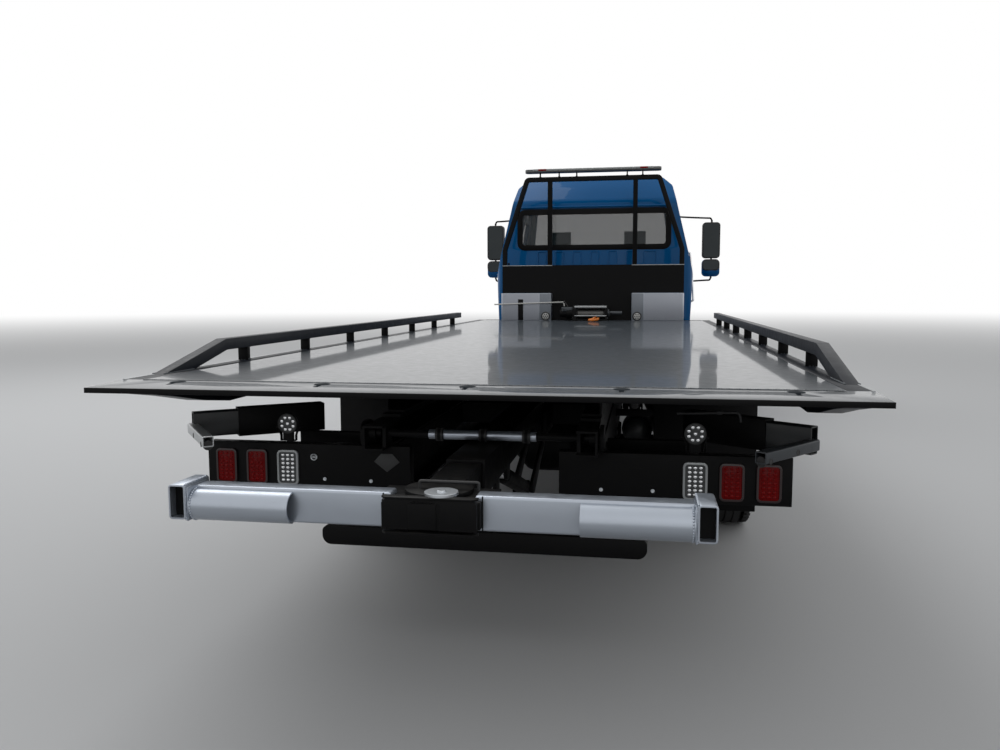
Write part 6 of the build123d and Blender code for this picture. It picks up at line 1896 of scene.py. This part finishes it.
    # muffler and its tail pipe on the right, ahead of the rear wheels
    x, (start, end) = part["mufflerX"], part["mufflerY"]
    addSpun(muffler, (x, start, 0.640), forward, (
        (0.0, 0.0001), (0.0, 0.060), (0.018, 0.085), (0.030, 0.090), (0.67, 0.090), (0.682, 0.085),
        (0.70, 0.060), (0.70, 0.0001),
    ), 40, False)
    addPipe(muffler, (
        (x, end - 0.01, 0.64), (x, end + 0.10, 0.64), (0.50, end + 0.35, 0.52), (0.492, 1.6, 0.50),
        (0.492, 3.0, 0.50), (0.46, 3.5, 0.56), (0.30, 3.6, 0.60),
    ), 0.038)
    addPipe(muffler, (
        (x, start + 0.01, 0.64), (x, start - 0.06, 0.64), (0.655, start - 0.15, 0.50), (0.655, -1.40, 0.46),
        (0.70, -1.52, 0.43), (0.95, -1.54, 0.42), (1.10, -1.55, 0.41),
    ), 0.034)
    for y in (start + 0.17, end - 0.17):
        addBlock(muffler, (0.43, y - 0.015, 0.66), (0.53, y + 0.015, 0.70), 0.003)
    makePiece(leaves, "springLeaves", "chassis", "frame_paint", "armBlack", replaced=("leaf_springs",))
    makePiece(clamps, "springClamps", "chassis", "frame_paint")
    makePiece(flaps, "mudFlaps", "chassis", "black_plastic", "frame_paint")
    makePiece(chambers, "brakeChambers", "chassis", "frame_paint", "armBlack")
    makePiece(shocks, "shockAbsorbers", "chassis", "frame_paint", "armBlack")
    makePiece(tanks, "chassisTanks", "chassis", "frame_paint", "armBlack")
    makePiece(straps, "chassisStraps", "chassis", "frame_paint")
    makePiece(muffler, "muffler", "chassis", "cast_metal")


buildUnderParts()


# Fuel tanks' straps, caps and step treads; the tool boxes' doors and latches
sideParts = {
    "tankY": (cabBackY + 0.330, cabBackY + 1.440), "tankX": 0.800, "tankZ": 0.640, "tankRadius": 0.250,
    "boxY": (rearAxleY + 0.760, rearAxleY + 2.500), "doorX": 1.2008, "doorZ": 0.678, "doorHigh": 0.390,
    "hingeZ": 0.893, "latchZ": 0.560, "latchOff": 0.42,
}


def buildSideParts():
    straps, treads, caps, latches, frames = newMeshes(5)
    part = sideParts
    start, end = part["tankY"]
    boxStart, boxEnd = part["boxY"]
    for side in sides:
        centre = (side * part["tankX"], 0, part["tankZ"])
        for y in (start + 0.22, end - 0.22):
            addSpun(straps, (centre[0], y, centre[2]), forward, (
                (-0.025, part["tankRadius"] - 0.001), (-0.025, part["tankRadius"] + 0.003),
                (0.025, part["tankRadius"] + 0.003), (0.025, part["tankRadius"] - 0.001),
            ), 56)
            addRod(
                straps, (side * 0.80, y, part["tankZ"] + 0.256), (side * 0.84, y, part["tankZ"] + 0.254),
                0.009, 6,
            )
        addRod(
            caps, (side * 0.93, (start + end) / 2, 0.835), (side * 0.965, (start + end) / 2, 0.888), 0.048,
            32, edge=0.005,
        )
        for z, outer in ((0.575, 1.085), (0.885, 1.070)):
            for index in range(9):
                x = side * (outer - 0.010 - index * 0.012)
                addBlock(
                    treads, (x - 0.0025, start + 0.075, z - 0.001), (x + 0.0025, end - 0.075, z + 0.003),
                    0.001, 1,
                )
            for y in (start + 0.068, end - 0.068):
                addBlock(
                    treads, (side * (outer - 0.12), y - 0.006, z - 0.001),
                    (side * outer, y + 0.006, z + 0.004), 0.001,
                )
        # one wide door a side, hinged at its top, on two paddle latches
        x, z = side * part["doorX"], part["latchZ"]
        middle = (boxStart + boxEnd) / 2
        addPanel(
            frames, (x, middle, part["doorZ"]), (0, side, 0), upward,
            (boxEnd - boxStart - 0.07, part["doorHigh"], 0.006), 0.03, 0.002, 0.022, 0.003,
        )
        hinge = part["hingeZ"]
        addRod(frames, (x, boxStart + 0.05, hinge), (x, boxEnd - 0.05, hinge), 0.008, 16)
        for y in (middle - part["latchOff"], middle + part["latchOff"]):
            addPanel(
                latches, (x, y, z), (0, side, 0), upward, (0.16, 0.105, 0.009), 0.015, 0.003, 0.014, 0.006,
            )
            addPanel(
                latches, (x + side * 0.004, y, z - 0.004), (0, side, 0), upward, (0.115, 0.048, 0.008),
                0.008, 0.003,
            )
            addRod(latches, (x, y + 0.062, z + 0.002), (x + side * 0.011, y + 0.062, z + 0.002), 0.008, 16,
                   edge=0.001)
    makePiece(straps, "tankStraps", "chassis", "tank_metal", "boltSteel")
    makePiece(treads, "stepTreads", "chassis", "tank_metal", "boltSteel")
    makePiece(caps, "fuelCaps", "chassis", "tank_metal", "boltSteel")
    makePiece(frames, "toolboxDoors", "chassis", "tank_metal")
    makePiece(latches, "toolboxLatches", "chassis", "tank_metal", "black_plastic")


buildSideParts()
print("stage: chassis and side parts made")


# Nose: grille screen, lamps behind their lenses and side lamps
noseParts = {
    "grilleY": cabBackY + 2.985, "low": 0.905, "high": 1.185, "half": 0.445, "screen": 44, "rows": 14,
    "lampPlaces": ((0.690, 1.028, 0.060), (0.845, 1.040, 0.056)),
}


def buildNose():
    part = noseParts
    screen, back, bowls, bulbs, signals = newMeshes(5)
    y = part["grilleY"]
    addBlock(
        back, (-part["half"] - 0.01, y - 0.050, part["low"] - 0.02),
        (part["half"] + 0.01, y - 0.044, part["high"] + 0.01), 0.001,
    )
    for index in range(part["screen"]):
        x = -part["half"] + (index + 0.5) * 2 * part["half"] / part["screen"]
        addRod(screen, (x, y - 0.036, part["low"] - 0.01), (x, y - 0.036, part["high"] + 0.005), 0.0022, 6)
    for index in range(part["rows"] * 2):
        z = part["low"] + (index + 0.5) * (part["high"] - part["low"]) / part["rows"] / 2
        addRod(screen, (-part["half"], y - 0.040, z), (part["half"], y - 0.040, z), 0.0022, 6)
    lensFace = faceFinder("headlamps", "hood")
    hoodFace = faceFinder("hood")
    for side in sides:
        for x, z, radius in part["lampPlaces"]:
            place, normal = lensFace((side * x, 5.6, z), backward)
            if place is None:
                continue
            addSpun(bowls, place - normal * 0.004, normal, (
                (0.0, 0.0001), (0.0, radius), (0.0055, radius), (0.007, radius - 0.003),
                (0.0065, radius - 0.008), (0.0045, radius - 0.012), (0.0045, 0.0001),
            ), 48, False)
            addSpun(bulbs, place - normal * 0.001, normal, (
                (0.0, 0.0001), (0.0, radius - 0.012), (0.004, radius - 0.013), (0.0085, radius * 0.45),
                (0.0095, 0.0001),
            ), 48, False)
        place, normal = hoodFace((side * 1.6, frontAxleY + 0.30, 1.12), (-side, 0, 0))
        if place is not None:
            addPanel(
                signals, place - normal * 0.002, upward.cross(normal), upward, (0.12, 0.042, 0.016), 0.016,
                0.004,
            )
    makePiece(screen, "grilleScreen", "hood", "silver_paint", "gunmetal")
    makePiece(back, "grilleBack", "hood", "black_plastic")
    makePiece(bowls, "headlampBowls", "hood", "clear_lens", "lampChrome")
    makePiece(bulbs, "headlampGlasses", "hood", "clear_lens")
    makePiece(signals, "fenderSignals", "hood", "clear_lens", "amber_lens")


buildNose()
print("stage: nose made")
